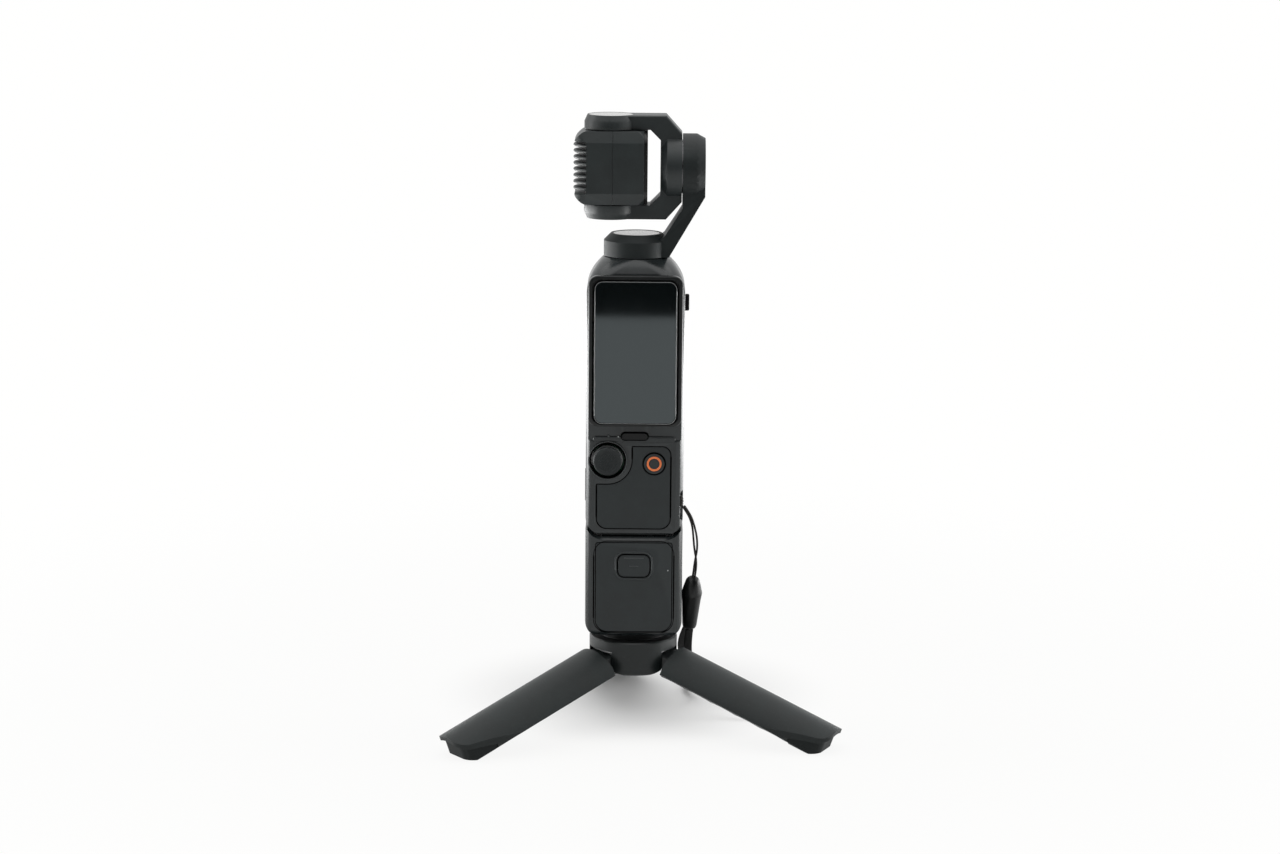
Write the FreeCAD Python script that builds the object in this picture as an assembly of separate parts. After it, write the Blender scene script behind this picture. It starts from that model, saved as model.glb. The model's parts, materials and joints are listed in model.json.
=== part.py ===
import FreeCAD, Part
import math
import os

os.makedirs("parts", exist_ok=True)
Vector = FreeCAD.Vector

# A pocket gimbal camera on a short handle and a folding three-legged stand.
# Millimetres. The origin is on the floor under the pan axis, +Z is up,
# the screen faces -Y and the roll motor is on the +X side.

# Clearances
RUNNING = 0.05
MOVING = 0.3
SEATED = 0.1
LEG_SPLIT = 0.2

# Stand: legs, hinges and hub
LEG_COUNT = 3
STAND_TURN = 5.5
LEG_OPEN = 20.3
LEG_R = 13.75
LEG_WALL = 1.5
LEG_TIP = 68.2
LEG_ROOT = 6.4
LEG_TIP_HALF = 7.2
LEG_TIP_TAPER = 21.0
LEG_TIP_BEND = 40.0
LEG_TIP_CORNER = 5.0
LEG_ROOT_CORNER = 2.5
FRAME_END = 55.7
FRAME_WALL = 1.4
FRAME_INNER_X = 5.2
FRAME_BAYS = 5
SCALLOP_DEPTH = 0.7
SCALLOP_R = 14.0
NUB_SIZE = 1.2
NUB_STATIONS = ((42.0, 1), (25.0, -1))
SOLE_DROP = 3.87
SOLE_DEPTH = 5.4
SOLE_INSET = 1.7
HINGE_R = 9.5
HINGE_PIN_R = 1.2
HINGE_PIN_HALF = 8.6
KNUCKLE_R = 2.8
KNUCKLE_HALF = 6.0
ARM_TOP = 1.4
HUB_R = 14.8
HUB_RISE = 5.2
HUB_GAP = 0.4
HUB_CORE_R = 6.2
PAD_R = 14.1
PAD_INSET = 0.8
PAD_RISE = 2.2
PAD_DISC_R = 10.8
SCREW_R = 3.175
SCREW_HEAD_R = 4.6
SCREW_HEAD_H = 2.5
SCREW_REACH = 5.5

# Handle under the camera
BODY_HALF = 16.2
FRONT_Y = -14.5
BACK_Y = 15.5
SHELL_WALL = 1.6
FRONT_EDGE_R = 2.6
BACK_EDGE_R = 8.0
HANDLE_H = 34.2
HANDLE_CORNER = 5.3
SEAM = 1.0
CUP_RISE = 2.2
RIM_CHAMFER = 1.1
PLATEAU_INSET = 3.0
PLATE_SIDE = 3.45
PLATE_T = 0.9
PLATE_CORNER = 4.0
PLATE_MARGIN = 1.9
RELEASE_HALF = 5.2
RELEASE_TALL = 3.7
RELEASE_DROP = 9.7
RELEASE_CORNER = 2.0
RELEASE_PROUD = 0.35
RELEASE_GAP = 0.25
RELEASE_TRAVEL = 1.2
RIM_WIDTH = 0.9
RIM_H = 0.35
INSERT_R = 5.2
INSERT_H = 8.0
LATCH_X = 8.6
LATCH_T = 1.4
LATCH_NOSE = 1.0
LATCH_HALF_Y = 2.0
LATCH_POST_Y = -5.0
LATCH_POST_DEEP = 9.5
FORK_T = 2.6
FORK_GAP = 0.3
PLUG_HALF_X = 4.15
PLUG_BOARD_HALF = 5.2
PLUG_HALF_Y = 1.2
PLUG_REACH = 6.6
SOCKET_WALL = 0.35

# Camera body
BODY_H = 91.4
BODY_CORNER = 5.5
SHOULDER_DROP = 10.9
NECK_R = 10.9
NECK_ROUND = 0.97
SHOULDER_FRONT = {0.0: 0.0, 0.2: 0.0, 0.4: 0.06, 0.6: 0.22, 0.8: 0.5, 1.0: 1.0}
SPLIT_Y = 1.0
STEP_H = 31.2
STEP_DEPTH = 0.7
SCREEN_STEP_H = 35.4
PANEL_LEFT_SIDE = 3.6
PANEL_RIGHT_SIDE = 4.15
PANEL_LOW = 1.8
PANEL_HIGH = 29.7
PANEL_T = 0.8
PANEL_GAP = 0.15
WINDOW_HALF = 4.6
WINDOW_TALL = 1.35
WINDOW_UP = 33.0
STICK_SIDE = 7.3
STICK_UP = 25.0
STICK_CAP_R = 4.9
STICK_WELL_R = 5.7
STICK_BEZEL_R = 6.5
STICK_BEZEL_H = 0.6
STICK_CLEAR_R = 8.1
STICK_PRESS = 0.4
STICK_LEAN = 10.0
RECORD_SIDE = 9.7
RECORD_UP = 23.9
RECORD_R = 3.5
RECORD_GAP = 0.3
RECORD_TRAVEL = 0.5
RECORD_RING_OUT = 2.45
RECORD_RING_IN = 1.8
KEY_DROP = 14.6
KEY_TALL = 2.8
KEY_Y = -6.0
KEY_HALF_Y = 1.1
KEY_PROUD = 1.45
KEY_TRAVEL = 0.5
CARD_UP = 14.7
CARD_Y = -4.0
CARD_W = 11.0
CARD_L = 15.0
CARD_T = 1.0
CARD_PROUD = 0.3
CARD_TRAVEL = 12.0
LANYARD_UP = 9.7
LANYARD_TALL = 5.0
LANYARD_Y = -12.2
LANYARD_HALF_Y = 1.8
LANYARD_DEPTH = 3.6
LANYARD_PIN_IN = 1.6
LANYARD_PIN_R = 0.6

# Inside the camera
CHASSIS_LOW = 9.2
BOARD_LOW = 5.0
BOARD_HIGH = 33.0
BATTERY_SIDE = 4.2
BATTERY_LOW = 26.0
BATTERY_DROP = 15.0

# Screen
SCREEN_W = 30.3
SCREEN_H = 50.1
SCREEN_UP = 36.7
SCREEN_T = 2.6
SCREEN_CORNER = 3.0
SCREEN_GAP = 0.25
GLASS_MARGIN = 1.35
GLASS_T = 0.7
PANEL_LCD_T = 0.9
PIVOT_BOSS_R = 4.5
PIVOT_FLANGE_R = 6.0

# Gimbal
PAN_DRUM_R = 10.8
PAN_DRUM_H = 5.1
PAN_CHAMFER = 2.3
PAN_TOP_R = 8.5
PAN_CAP_R = 7.7
DRUM_WALL = 1.6
ARM_HALF_Y = 7.0
ARM_EDGE = 1.0
ROLL_R = 10.9
ROLL_AXIS_UP = 29.8
ROLL_FACE_X = 14.8
ROLL_END_X = 22.5
ROLL_CHAMFER = 1.5
ROLL_CHAMFER_L = 2.8
YOKE_HALF = 17.1
YOKE_INNER_HALF = 12.4
YOKE_HALF_Y = 8.75
YOKE_DRUM_X = 9.9
YOKE_FLARE = 1.9
YOKE_INNER_X = 7.75
YOKE_CHAMFER = 5.2
YOKE_WINDOW_CHAMFER = 3.4
YOKE_EDGE = 0.4
YOKE_TAPER = 1.0
YOKE_TAPER_H = 2.2
YOKE_LIMB_Y = 5.6
TILT_X = -8.7
TILT_SKIN = 0.9
TILT_POCKET_R = 7.3
CAP_T = 0.8
SHAFT_R = 1.5
MOTOR_R = 8.9
MOTOR_RING_T = 1.5
COIL_R = 6.9
COIL_H = 3.6
PAN_HUB_R = 5.7
PAN_POST_R = 4.0
PAN_POST_DROP = 12.0
SENSOR_BACK = 5.5
SENSOR_T = 1.2
SENSOR_HALF_Y = 6.5
SENSOR_HALF_Z = 8.0
SENSOR_ARM_Z = 5.0
HEAD_LEFT = -20.7
HEAD_RIGHT = 2.3
HEAD_HALF_Y = 10.2
HEAD_SEAM_X = -8.0
HEAD_BEVEL = 3.8
HEAD_BEVEL_X = 3.1
HEAD_BEVEL_Y = 1.5
HEAD_CORNER = 4.0
HEAD_LEFT_BEVEL = 2.9
HEAD_LEFT_ROUND = 3.6
SWEEP_SPARE = 0.15
HEAD_WALL = 1.5
FIN_COUNT = 8
FIN_PITCH = 2.05
FIN_T = 1.15
FIN_DEPTH = 4.0
BEZEL_T = 1.2
BEZEL_HALF_Y = 8.9
BEZEL_CORNER = 4.5
LENS_TUBE_R = 7.4
LENS_GLASS_R = 6.4

# Wrist strap
CORD_D = 0.9
CORD_SPREAD = 0.55
SLEEVE_R = 3.3
SLEEVE_TOP_R = 2.3
SLEEVE_END_R = 2.35
SLEEVE_GROOVE = 3.0
SLEEVE_DOME = 0.9
WEBBING_D = 2.8

# Places across the front, worked out from the body's width
STICK_X = STICK_SIDE - BODY_HALF
RECORD_X = BODY_HALF - RECORD_SIDE
PANEL_LEFT = PANEL_LEFT_SIDE - BODY_HALF
PANEL_RIGHT = BODY_HALF - PANEL_RIGHT_SIDE
PLATE_HALF = BODY_HALF - PLATE_SIDE

# Levels up the pan axis, worked out from the sizes above
OPEN = math.radians(LEG_OPEN)
FOLD = 90.0 - LEG_OPEN
PAD_END = LEG_TIP - SOLE_INSET
HINGE_Z = PAD_END * math.sin(OPEN) + SOLE_DROP * math.cos(OPEN)
HUB_TOP = HINGE_Z + HUB_RISE
HUB_BOTTOM = HINGE_Z - LEG_ROOT + HUB_GAP
HANDLE_Z = HUB_TOP + PAD_RISE
HANDLE_TOP = HANDLE_Z + HANDLE_H
BODY_Z = HANDLE_TOP + SEAM
NECK_Z = BODY_Z + BODY_H
PAN_Z = NECK_Z + MOVING
PAN_TOP = PAN_Z + PAN_DRUM_H + PAN_CHAMFER
ROLL_Z = NECK_Z + ROLL_AXIS_UP
SCREEN_LOW = BODY_Z + SCREEN_UP
SCREEN_HIGH = SCREEN_LOW + SCREEN_H
SCREEN_MID = SCREEN_LOW + SCREEN_H / 2
SCREEN_BACK_Y = FRONT_Y + STEP_DEPTH - SCREEN_GAP
SCREEN_FACE_Y = SCREEN_BACK_Y - SCREEN_T
STEP_Y = FRONT_Y + STEP_DEPTH
PIVOT_SHIFT = (SCREEN_H - SCREEN_W) / 4
PIVOT_Z = SCREEN_MID + PIVOT_SHIFT
STICK_Z = BODY_Z + STICK_UP
RECORD_Z = BODY_Z + RECORD_UP
WINDOW_Z = BODY_Z + WINDOW_UP
KEY_Z = NECK_Z - KEY_DROP
CARD_Z = BODY_Z + CARD_UP
LANYARD_Z = BODY_Z + LANYARD_UP
RELEASE_Z = HANDLE_TOP - RELEASE_DROP
HEAD_SWEEP_R = YOKE_INNER_X - TILT_X - MOVING - SWEEP_SPARE
HEAD_SWEEP_DROP = YOKE_WINDOW_CHAMFER + MOVING
FRONT_INNER_Y = FRONT_Y + SHELL_WALL
SCREEN_INNER_Y = STEP_Y + SHELL_WALL
BOARD_Y = FRONT_INNER_Y + 2.4
BOARD_T = 1.0
FRAME_Y = BOARD_Y + BOARD_T + 0.3
FRAME_T = 1.0


# Solids from plain outlines

AXIS = {"x": Vector(1, 0, 0), "y": Vector(0, 1, 0), "z": Vector(0, 0, 1)}


def place(axis, u, v, along):
    """Point at (u, v) on the plane square to axis, a distance along it."""
    if axis == "x":
        return Vector(along, u, v)
    if axis == "y":
        return Vector(u, along, v)
    return Vector(u, v, along)


def rounded_wire(corners, axis, along):
    """Closed wire through corners (u, v, radius)."""
    count = len(corners)
    starts, middles, ends = [], [], []
    for i, (u, v, radius) in enumerate(corners):
        here = Vector(u, v, 0)
        back = Vector(corners[i - 1][0], corners[i - 1][1], 0) - here
        ahead = Vector(corners[(i + 1) % count][0], corners[(i + 1) % count][1], 0) - here
        back.normalize()
        ahead.normalize()
        half = back.getAngle(ahead) / 2
        reach = radius / math.tan(half)
        inward = back + ahead
        inward.normalize()
        centre = here + inward * (radius / math.sin(half))
        starts.append(here + back * reach)
        middles.append(centre - inward * radius)
        ends.append(here + ahead * reach)

    def put(point):
        return place(axis, point.x, point.y, along)

    edges = []
    for i in range(count):
        if corners[i][2] > 0:
            arc = Part.Arc(put(starts[i]), put(middles[i]), put(ends[i]))
            edges.append(arc.toShape())
        following = starts[(i + 1) % count]
        if (following - ends[i]).Length > 1e-6:
            edges.append(Part.LineSegment(put(ends[i]), put(following)).toShape())
    return Part.Wire(edges)


def plate(corners, axis, low, high):
    """Solid with a flat outline square to axis, from low to high along it."""
    face = Part.Face(rounded_wire(corners, axis, low))
    return face.extrude(AXIS[axis] * (high - low))


def rect(u0, u1, v0, v1, radius=0.0):
    """Corners of a rectangle, anticlockwise, all rounded alike."""
    return [(u0, v0, radius), (u1, v0, radius), (u1, v1, radius), (u0, v1, radius)]


def box(x0, x1, y0, y1, z0, z1):
    return Part.makeBox(x1 - x0, y1 - y0, z1 - z0, Vector(x0, y0, z0))


def rod(axis, u, v, radius, low, high):
    """Cylinder along axis, centred at (u, v), from low to high."""
    return Part.makeCylinder(radius, high - low, place(axis, u, v, low), AXIS[axis])


def ring(axis, u, v, outer, inner, low, high):
    return rod(axis, u, v, outer, low, high).cut(rod(axis, u, v, inner, low - 1, high + 1))


def cone(axis, u, v, radius_low, radius_high, low, high):
    return Part.makeCone(radius_low, radius_high, high - low, place(axis, u, v, low), AXIS[axis])


def join(first, *others):
    return first.fuse(list(others)).removeSplitter()


def overlap(first, *others):
    for other in others:
        first = first.common(other)
    return first


def save(name, shape):
    """Write one sub-part, after checking that its solids are sound."""
    solids = shape.Solids
    if not solids or not all(solid.isValid() for solid in solids):
        raise ValueError("unsound solid in " + name)
    body = solids[0] if len(solids) == 1 else Part.makeCompound(solids)
    body.exportStep("parts/" + name + ".step")


# Stand hub with its rubber pad, screw and hinge pins

def leg_azimuth(index):
    """Direction of a leg seen from above, in degrees from +X."""
    return 210.0 + STAND_TURN + index * 360.0 / LEG_COUNT


def at_leg(shape, index):
    """Turn a shape built along +X to the azimuth of one leg."""
    turned = shape.copy()
    turned.rotate(Vector(0, 0, 0), AXIS["z"], leg_azimuth(index))
    return turned


def make_hub():
    hub = rod("z", 0, 0, HUB_R, HUB_BOTTOM, HUB_TOP)
    hub = hub.makeChamfer(0.4, [edge for edge in hub.Edges if len(edge.Vertexes) == 1])
    hub = hub.cut(rod("z", 0, 0, PAD_R + SEATED, HUB_TOP - PAD_INSET, HUB_TOP + 1))
    hub = hub.cut(rod("z", 0, 0, SCREW_R + RUNNING, HUB_BOTTOM - 1, HUB_TOP))
    hub = hub.cut(rod("z", 0, 0, SCREW_HEAD_R + SEATED, HUB_BOTTOM - 1, HUB_BOTTOM + 1 + SCREW_HEAD_H))
    half = KNUCKLE_HALF + MOVING
    beyond = HUB_R + 1
    slot = box(HUB_CORE_R, beyond, -half, half, HUB_BOTTOM - 1, HINGE_Z)
    slot = slot.fuse(box(HINGE_R, beyond, -half, half, HINGE_Z - 1, HINGE_Z + ARM_TOP + MOVING))
    slot = slot.fuse(rod("y", HINGE_R, HINGE_Z, KNUCKLE_R + MOVING, -half, half))
    swing = ring("y", HINGE_R, HINGE_Z, LEG_ROOT * 1.6, LEG_ROOT - MOVING, -LEG_R, LEG_R)
    swing = swing.common(box(HINGE_R, beyond, -LEG_R, LEG_R, HUB_BOTTOM - 1, HINGE_Z))
    bore = rod("y", HINGE_R, HINGE_Z, HINGE_PIN_R + RUNNING, -HINGE_PIN_HALF, HINGE_PIN_HALF)
    for index in range(LEG_COUNT):
        for tool in (slot, swing, bore):
            hub = hub.cut(at_leg(tool, index))
    return hub


def make_stand_screw():
    low = HUB_BOTTOM + 1
    head = rod("z", 0, 0, SCREW_HEAD_R, low, low + SCREW_HEAD_H)
    shank = rod("z", 0, 0, SCREW_R, low, HANDLE_Z + SCREW_REACH - 0.6)
    point = cone("z", 0, 0, SCREW_R, SCREW_R - 0.6, HANDLE_Z + SCREW_REACH - 0.6, HANDLE_Z + SCREW_REACH)
    slot = box(-SCREW_HEAD_R, SCREW_HEAD_R, -0.6, 0.6, low - 1, low + 1)
    return join(head, shank, point).cut(slot)


def make_pad():
    flange = rod("z", 0, 0, PAD_R, HUB_TOP - PAD_INSET, HUB_TOP)
    disc = rod("z", 0, 0, PAD_DISC_R, HUB_TOP, HANDLE_Z)
    return join(flange, disc).cut(rod("z", 0, 0, SCREW_R + SEATED, HUB_TOP - 2, HANDLE_Z + 1))


def make_hinge_pins():
    pin = rod("y", HINGE_R, HINGE_Z, HINGE_PIN_R, -HINGE_PIN_HALF + SEATED, HINGE_PIN_HALF - SEATED)
    return Part.makeCompound([at_leg(pin, index) for index in range(LEG_COUNT)])


# Legs, each built folded along the pan axis and then opened on its hinge

def leg_z(distance):
    """Height of a point a distance down a folded leg."""
    return HINGE_Z - distance


def wedge(clearance, low, high):
    """A third of a turn about the pan axis, with its sides moved in."""
    tip = clearance / math.sin(math.radians(180.0 / LEG_COUNT))
    reach = LEG_R * 2
    side = reach * math.tan(math.radians(180.0 / LEG_COUNT))
    return plate([(tip, 0, 0), (tip + reach, -side, 0), (tip + reach, side, 0)], "z", low, high)


def leg_outline(inset, end, tip_radius):
    """Prism of the leg's outline, seen square to its ridge: it narrows towards the tip."""
    half = LEG_R * math.sin(math.radians(180.0 / LEG_COUNT)) - inset
    tip = LEG_TIP_HALF - inset
    low, high = leg_z(end), leg_z(LEG_ROOT)
    bend = low + LEG_TIP_TAPER
    corners = [(-tip, low, tip_radius), (tip, low, tip_radius), (half, bend, LEG_TIP_BEND),
               (half, high, LEG_ROOT_CORNER), (-half, high, LEG_ROOT_CORNER), (-half, bend, LEG_TIP_BEND)]
    return plate(corners, "x", 0, LEG_R + 1)


def open_leg(shape, index):
    opened = shape.copy()
    opened.rotate(Vector(HINGE_R, 0, HINGE_Z), AXIS["y"], -FOLD)
    return at_leg(opened, index)


def folded_shell():
    low, high = leg_z(LEG_TIP), leg_z(LEG_ROOT)
    wall = ring("z", 0, 0, LEG_R, LEG_R - LEG_WALL, low, high)
    outline = leg_outline(0, LEG_TIP, LEG_TIP_CORNER)
    return overlap(wall, wedge(LEG_SPLIT, low, high), outline)


def folded_frame():
    start = LEG_ROOT + 0.6
    low, high = leg_z(FRAME_END), leg_z(start)
    radius = LEG_R - LEG_WALL - RUNNING
    body = rod("z", 0, 0, radius, low, high)
    body = overlap(body, wedge(LEG_SPLIT, low, high), box(FRAME_INNER_X, LEG_R, -LEG_R, LEG_R, low, high),
                   leg_outline(0.3, LEG_TIP, LEG_TIP_CORNER))
    hollow = rod("z", 0, 0, radius - FRAME_WALL, low, high)
    hollow = hollow.common(wedge(LEG_SPLIT + FRAME_WALL, low, high))
    bay = (high - low - FRAME_WALL) / FRAME_BAYS
    for i in range(1, FRAME_BAYS):
        bottom = low + FRAME_WALL + i * bay - FRAME_WALL
        body = body.cut(hollow.common(box(0, LEG_R, -LEG_R, LEG_R, bottom - bay + FRAME_WALL, bottom)))
    for i in range(FRAME_BAYS):
        middle = low + FRAME_WALL + (i + 0.5) * bay
        edge = FRAME_INNER_X + SCALLOP_DEPTH - SCALLOP_R
        body = body.cut(rod("y", edge, middle, SCALLOP_R, -LEG_R, LEG_R))
    for station, side in NUB_STATIONS:
        z = leg_z(station)
        nub_y = (FRAME_INNER_X - NUB_SIZE) * math.tan(math.radians(60)) - 1.6
        inner, outer = sorted((side * (nub_y - NUB_SIZE), side * nub_y))
        top = FRAME_INNER_X + SCALLOP_DEPTH + 1.0
        nub = box(FRAME_INNER_X - NUB_SIZE, top, inner, outer, z - NUB_SIZE, z + NUB_SIZE)
        foot = box(top - 0.5, top + 1.5, *sorted((side * (nub_y - NUB_SIZE), side * (nub_y + 3))),
                   z - NUB_SIZE, z + NUB_SIZE)
        body = body.fuse(nub).fuse(foot.common(wedge(LEG_SPLIT, low, high)))
    knuckle = rod("y", HINGE_R, HINGE_Z, KNUCKLE_R, -KNUCKLE_HALF, KNUCKLE_HALF)
    arm = box(HINGE_R - KNUCKLE_R, HINGE_R + ARM_TOP, -KNUCKLE_HALF, KNUCKLE_HALF, high - 2, HINGE_Z)
    arm = arm.common(rod("z", 0, 0, radius, high - 3, HINGE_Z + 1))
    body = join(body, knuckle, arm)
    return body.cut(rod("y", HINGE_R, HINGE_Z, HINGE_PIN_R + RUNNING, -LEG_R, LEG_R))


def folded_foot():
    start = FRAME_END + SEATED
    low, high = leg_z(PAD_END), leg_z(start)
    radius = LEG_R - LEG_WALL - RUNNING
    pad = rod("z", 0, 0, radius, low, high)
    pad = overlap(pad, wedge(LEG_SPLIT, low, high), leg_outline(0.4, PAD_END, LEG_TIP_CORNER - 1))
    return pad.common(box(HINGE_R - SOLE_DEPTH, LEG_R, -LEG_R, LEG_R, low, high))


def make_leg(index):
    above_floor = box(-200, 200, -200, 200, 0, 200)
    return {
        "leg_shell": open_leg(folded_shell(), index),
        "leg_frame": open_leg(folded_frame(), index),
        "foot_pad": open_leg(folded_foot(), index).common(above_floor),
    }


# Handle

def plan_corners(inset):
    """Plan outline of the handle and the camera body."""
    half = BODY_HALF - inset
    front, back = FRONT_Y + inset, BACK_Y - inset
    front_r = max(FRONT_EDGE_R - inset, 0.5)
    back_r = max(BACK_EDGE_R - inset, 0.5)
    return [(-half, front, front_r), (half, front, front_r), (half, back, back_r), (-half, back, back_r)]


def handle_block(inset):
    half = BODY_HALF - inset
    low, high = HANDLE_Z + inset, HANDLE_TOP + CUP_RISE - inset
    corner = max(HANDLE_CORNER - inset, 0.5)
    plan = plate(plan_corners(inset), "z", low, high)
    front_view = plate([(-half, low, corner), (half, low, corner), (half, high, 0), (-half, high, 0)],
                       "y", FRONT_Y, BACK_Y)
    side_r = max(3.0 - inset, 0.5)
    side_view = plate([(FRONT_Y + inset, low, side_r), (BACK_Y - inset, low, side_r),
                       (BACK_Y - inset, high, 0), (FRONT_Y + inset, high, 0)], "x", -half, half)
    return overlap(plan, front_view, side_view)


def cup_cut(drop):
    """What the camera's rounded underside takes away from the handle's top."""
    half = BODY_HALF + 1
    low = BODY_Z - drop
    corner = BODY_CORNER + SEAM
    return plate([(-half, low, corner), (half, low, corner), (half, low + 30, 0), (-half, low + 30, 0)],
                 "y", FRONT_Y - 1, BACK_Y + 1)


def cup_chamfer(face_y, inward):
    """Slanting cut along the cradle's edge, from the face at face_y inwards."""
    half = BODY_HALF + 1
    wires = []
    for depth, drop in ((-0.1, RIM_CHAMFER + 0.1), (RIM_CHAMFER, 0)):
        low = HANDLE_TOP - drop
        corner = BODY_CORNER + SEAM + drop
        corners = [(-half, low, corner), (half, low, corner), (half, low + 30, 0), (-half, low + 30, 0)]
        wires.append(rounded_wire(corners, "y", face_y + inward * depth))
    return Part.makeLoft(wires, True, True)


def latch_slot(side):
    """Opening that a latch finger moves in, through the seam."""
    inner, outer = LATCH_X - LATCH_T / 2 - RELEASE_TRAVEL - MOVING, LATCH_X + LATCH_T / 2 + MOVING
    x0, x1 = sorted((side * inner, side * outer))
    half = LATCH_HALF_Y + MOVING
    return box(x0, x1, -half, half, HANDLE_TOP - SHELL_WALL - 1, BODY_Z + SHELL_WALL + 0.2)


def plug_slot(low, high):
    x, y = PLUG_HALF_X + SOCKET_WALL, PLUG_HALF_Y + SOCKET_WALL
    return plate(rect(-x, x, -y, y, 1.0), "z", low, high)


def plate_outline(inset):
    half = PLATE_HALF - inset
    low, high = HANDLE_Z + PLATE_MARGIN + inset, HANDLE_TOP - PLATE_MARGIN - inset
    corner = PLATE_CORNER - inset
    return [(-half, low, corner), (half, low, corner), (half, high, 1.0), (-half, high, 1.0)]


def release_outline(extra):
    w, h = RELEASE_HALF + extra, RELEASE_TALL + extra
    return rect(-w, w, RELEASE_Z - h, RELEASE_Z + h, RELEASE_CORNER + extra)


def make_handle_shell():
    outer = handle_block(0).cut(cup_cut(SEAM))
    outer = outer.cut(cup_chamfer(FRONT_Y, 1)).cut(cup_chamfer(BACK_Y, -1))
    plateau = plate(plan_corners(PLATEAU_INSET), "z", HANDLE_TOP - 1, BODY_Z)
    reach = BODY_HALF - BODY_CORNER
    outer = outer.fuse(plateau.common(box(-reach, reach, FRONT_Y, BACK_Y, HANDLE_TOP - 1, BODY_Z)))
    roof = HANDLE_TOP - SHELL_WALL
    cavity = handle_block(SHELL_WALL).common(box(-50, 50, -50, 50, HANDLE_Z, roof))
    shell = outer.cut(cavity)
    shell = shell.cut(plate(plate_outline(-0.15), "y", FRONT_Y - 1, FRONT_Y + PLATE_T))
    shell = shell.cut(plate(release_outline(RELEASE_GAP), "y", FRONT_Y, FRONT_INNER_Y + 1))
    shell = shell.cut(rod("z", 0, 0, INSERT_R + RUNNING, HANDLE_Z - 1, HANDLE_Z + SHELL_WALL + 1))
    shell = shell.cut(plug_slot(roof - 1, BODY_Z + 1))
    for side in (-1, 1):
        shell = shell.cut(latch_slot(side))
    return shell.removeSplitter()


def make_handle_plate():
    panel = plate(plate_outline(0), "y", FRONT_Y, FRONT_Y + PLATE_T)
    rim = plate(release_outline(RELEASE_GAP + RIM_WIDTH), "y", FRONT_Y - RIM_H, FRONT_Y)
    return join(panel, rim).cut(plate(release_outline(RELEASE_GAP), "y", FRONT_Y - 1, FRONT_Y + 2))


def make_release_button():
    cap = plate(release_outline(0), "y", FRONT_Y - RIM_H - RELEASE_PROUD, FRONT_INNER_Y + 1)
    flange_y = FRONT_INNER_Y + RELEASE_GAP
    flange = plate(release_outline(1.0), "y", flange_y, flange_y + 1.2)
    base_top = HANDLE_TOP - SHELL_WALL - SEATED
    low, high = base_top - LATCH_POST_DEEP, base_top - LATCH_POST_DEEP + FORK_T
    outer = LATCH_X + LATCH_T / 2
    inner = LATCH_X - 1.7
    ramp = outer - inner - 1.2
    front = LATCH_POST_Y - 1.6
    stem = box(-2, 2, flange_y, front, RELEASE_Z - 2, RELEASE_Z + 2)
    bar = box(-outer - 1.5, outer + 1.5, front - 1.0, front, low, high)
    stem = stem.fuse(box(-2, 2, front - 1.0, front, min(low, RELEASE_Z - 2), max(high, RELEASE_Z + 2)))
    start = outer - ramp + FORK_GAP / 2
    step = LATCH_POST_Y - FORK_GAP / 2
    button = join(cap, flange, stem, bar)
    for side in (-1, 1):
        corners = [(start, front - 0.5), (outer + 1.5, front - 0.5), (outer + 1.5, step + ramp + 0.2),
                   (start + ramp + 0.2, step + ramp + 0.2), (start, step)]
        if side < 0:
            corners = [(-x, y) for x, y in reversed(corners)]
        button = button.fuse(plate([(x, y, 0) for x, y in corners], "z", low, high))
    return button.removeSplitter()


def make_thread_insert():
    flange_z = HANDLE_Z + SHELL_WALL
    body = rod("z", 0, 0, INSERT_R, HANDLE_Z, HANDLE_Z + INSERT_H)
    flange = rod("z", 0, 0, INSERT_R + 1.6, flange_z, flange_z + 1.2)
    bore = rod("z", 0, 0, SCREW_R + RUNNING, HANDLE_Z - 1, HANDLE_Z + INSERT_H - 1.2)
    return join(body, flange).cut(bore)


def make_latch(side):
    """Bolt whose finger hooks over the inside of the camera's floor."""
    half = LATCH_T / 2
    base_top = HANDLE_TOP - SHELL_WALL - SEATED
    nose_z = BODY_Z + SHELL_WALL + 0.2
    inner, outer = LATCH_X - 1.7, LATCH_X + half
    base = box(inner, outer, LATCH_POST_Y, LATCH_HALF_Y + 0.5, base_top - 2.6, base_top)
    finger = box(LATCH_X - half, outer, -LATCH_HALF_Y, LATCH_HALF_Y, base_top - 1, nose_z + 1.4)
    nose = box(LATCH_X, outer + LATCH_NOSE, -LATCH_HALF_Y, LATCH_HALF_Y, nose_z, nose_z + 1.4)
    ramp = outer - inner - 1.2
    post = plate([(inner, LATCH_POST_Y, 0), (outer - ramp, LATCH_POST_Y, 0), (outer, LATCH_POST_Y + ramp, 0),
                  (outer, LATCH_POST_Y + 2.5, 0), (inner, LATCH_POST_Y + 2.5, 0)], "z",
                 base_top - LATCH_POST_DEEP, base_top - 1)
    bolt = join(base, finger, nose, post)
    if side < 0:
        bolt = bolt.mirror(Vector(0, 0, 0), AXIS["x"])
    return bolt


def make_usb_plug():
    top = HANDLE_TOP - SHELL_WALL
    board = box(-PLUG_BOARD_HALF, PLUG_BOARD_HALF, -4, 4, top - 1.2, top)
    tongue = plate(rect(-PLUG_HALF_X, PLUG_HALF_X, -PLUG_HALF_Y, PLUG_HALF_Y, 1.0), "z",
                   top - 0.5, BODY_Z + PLUG_REACH)
    return join(board, tongue)


# Camera body

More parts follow.
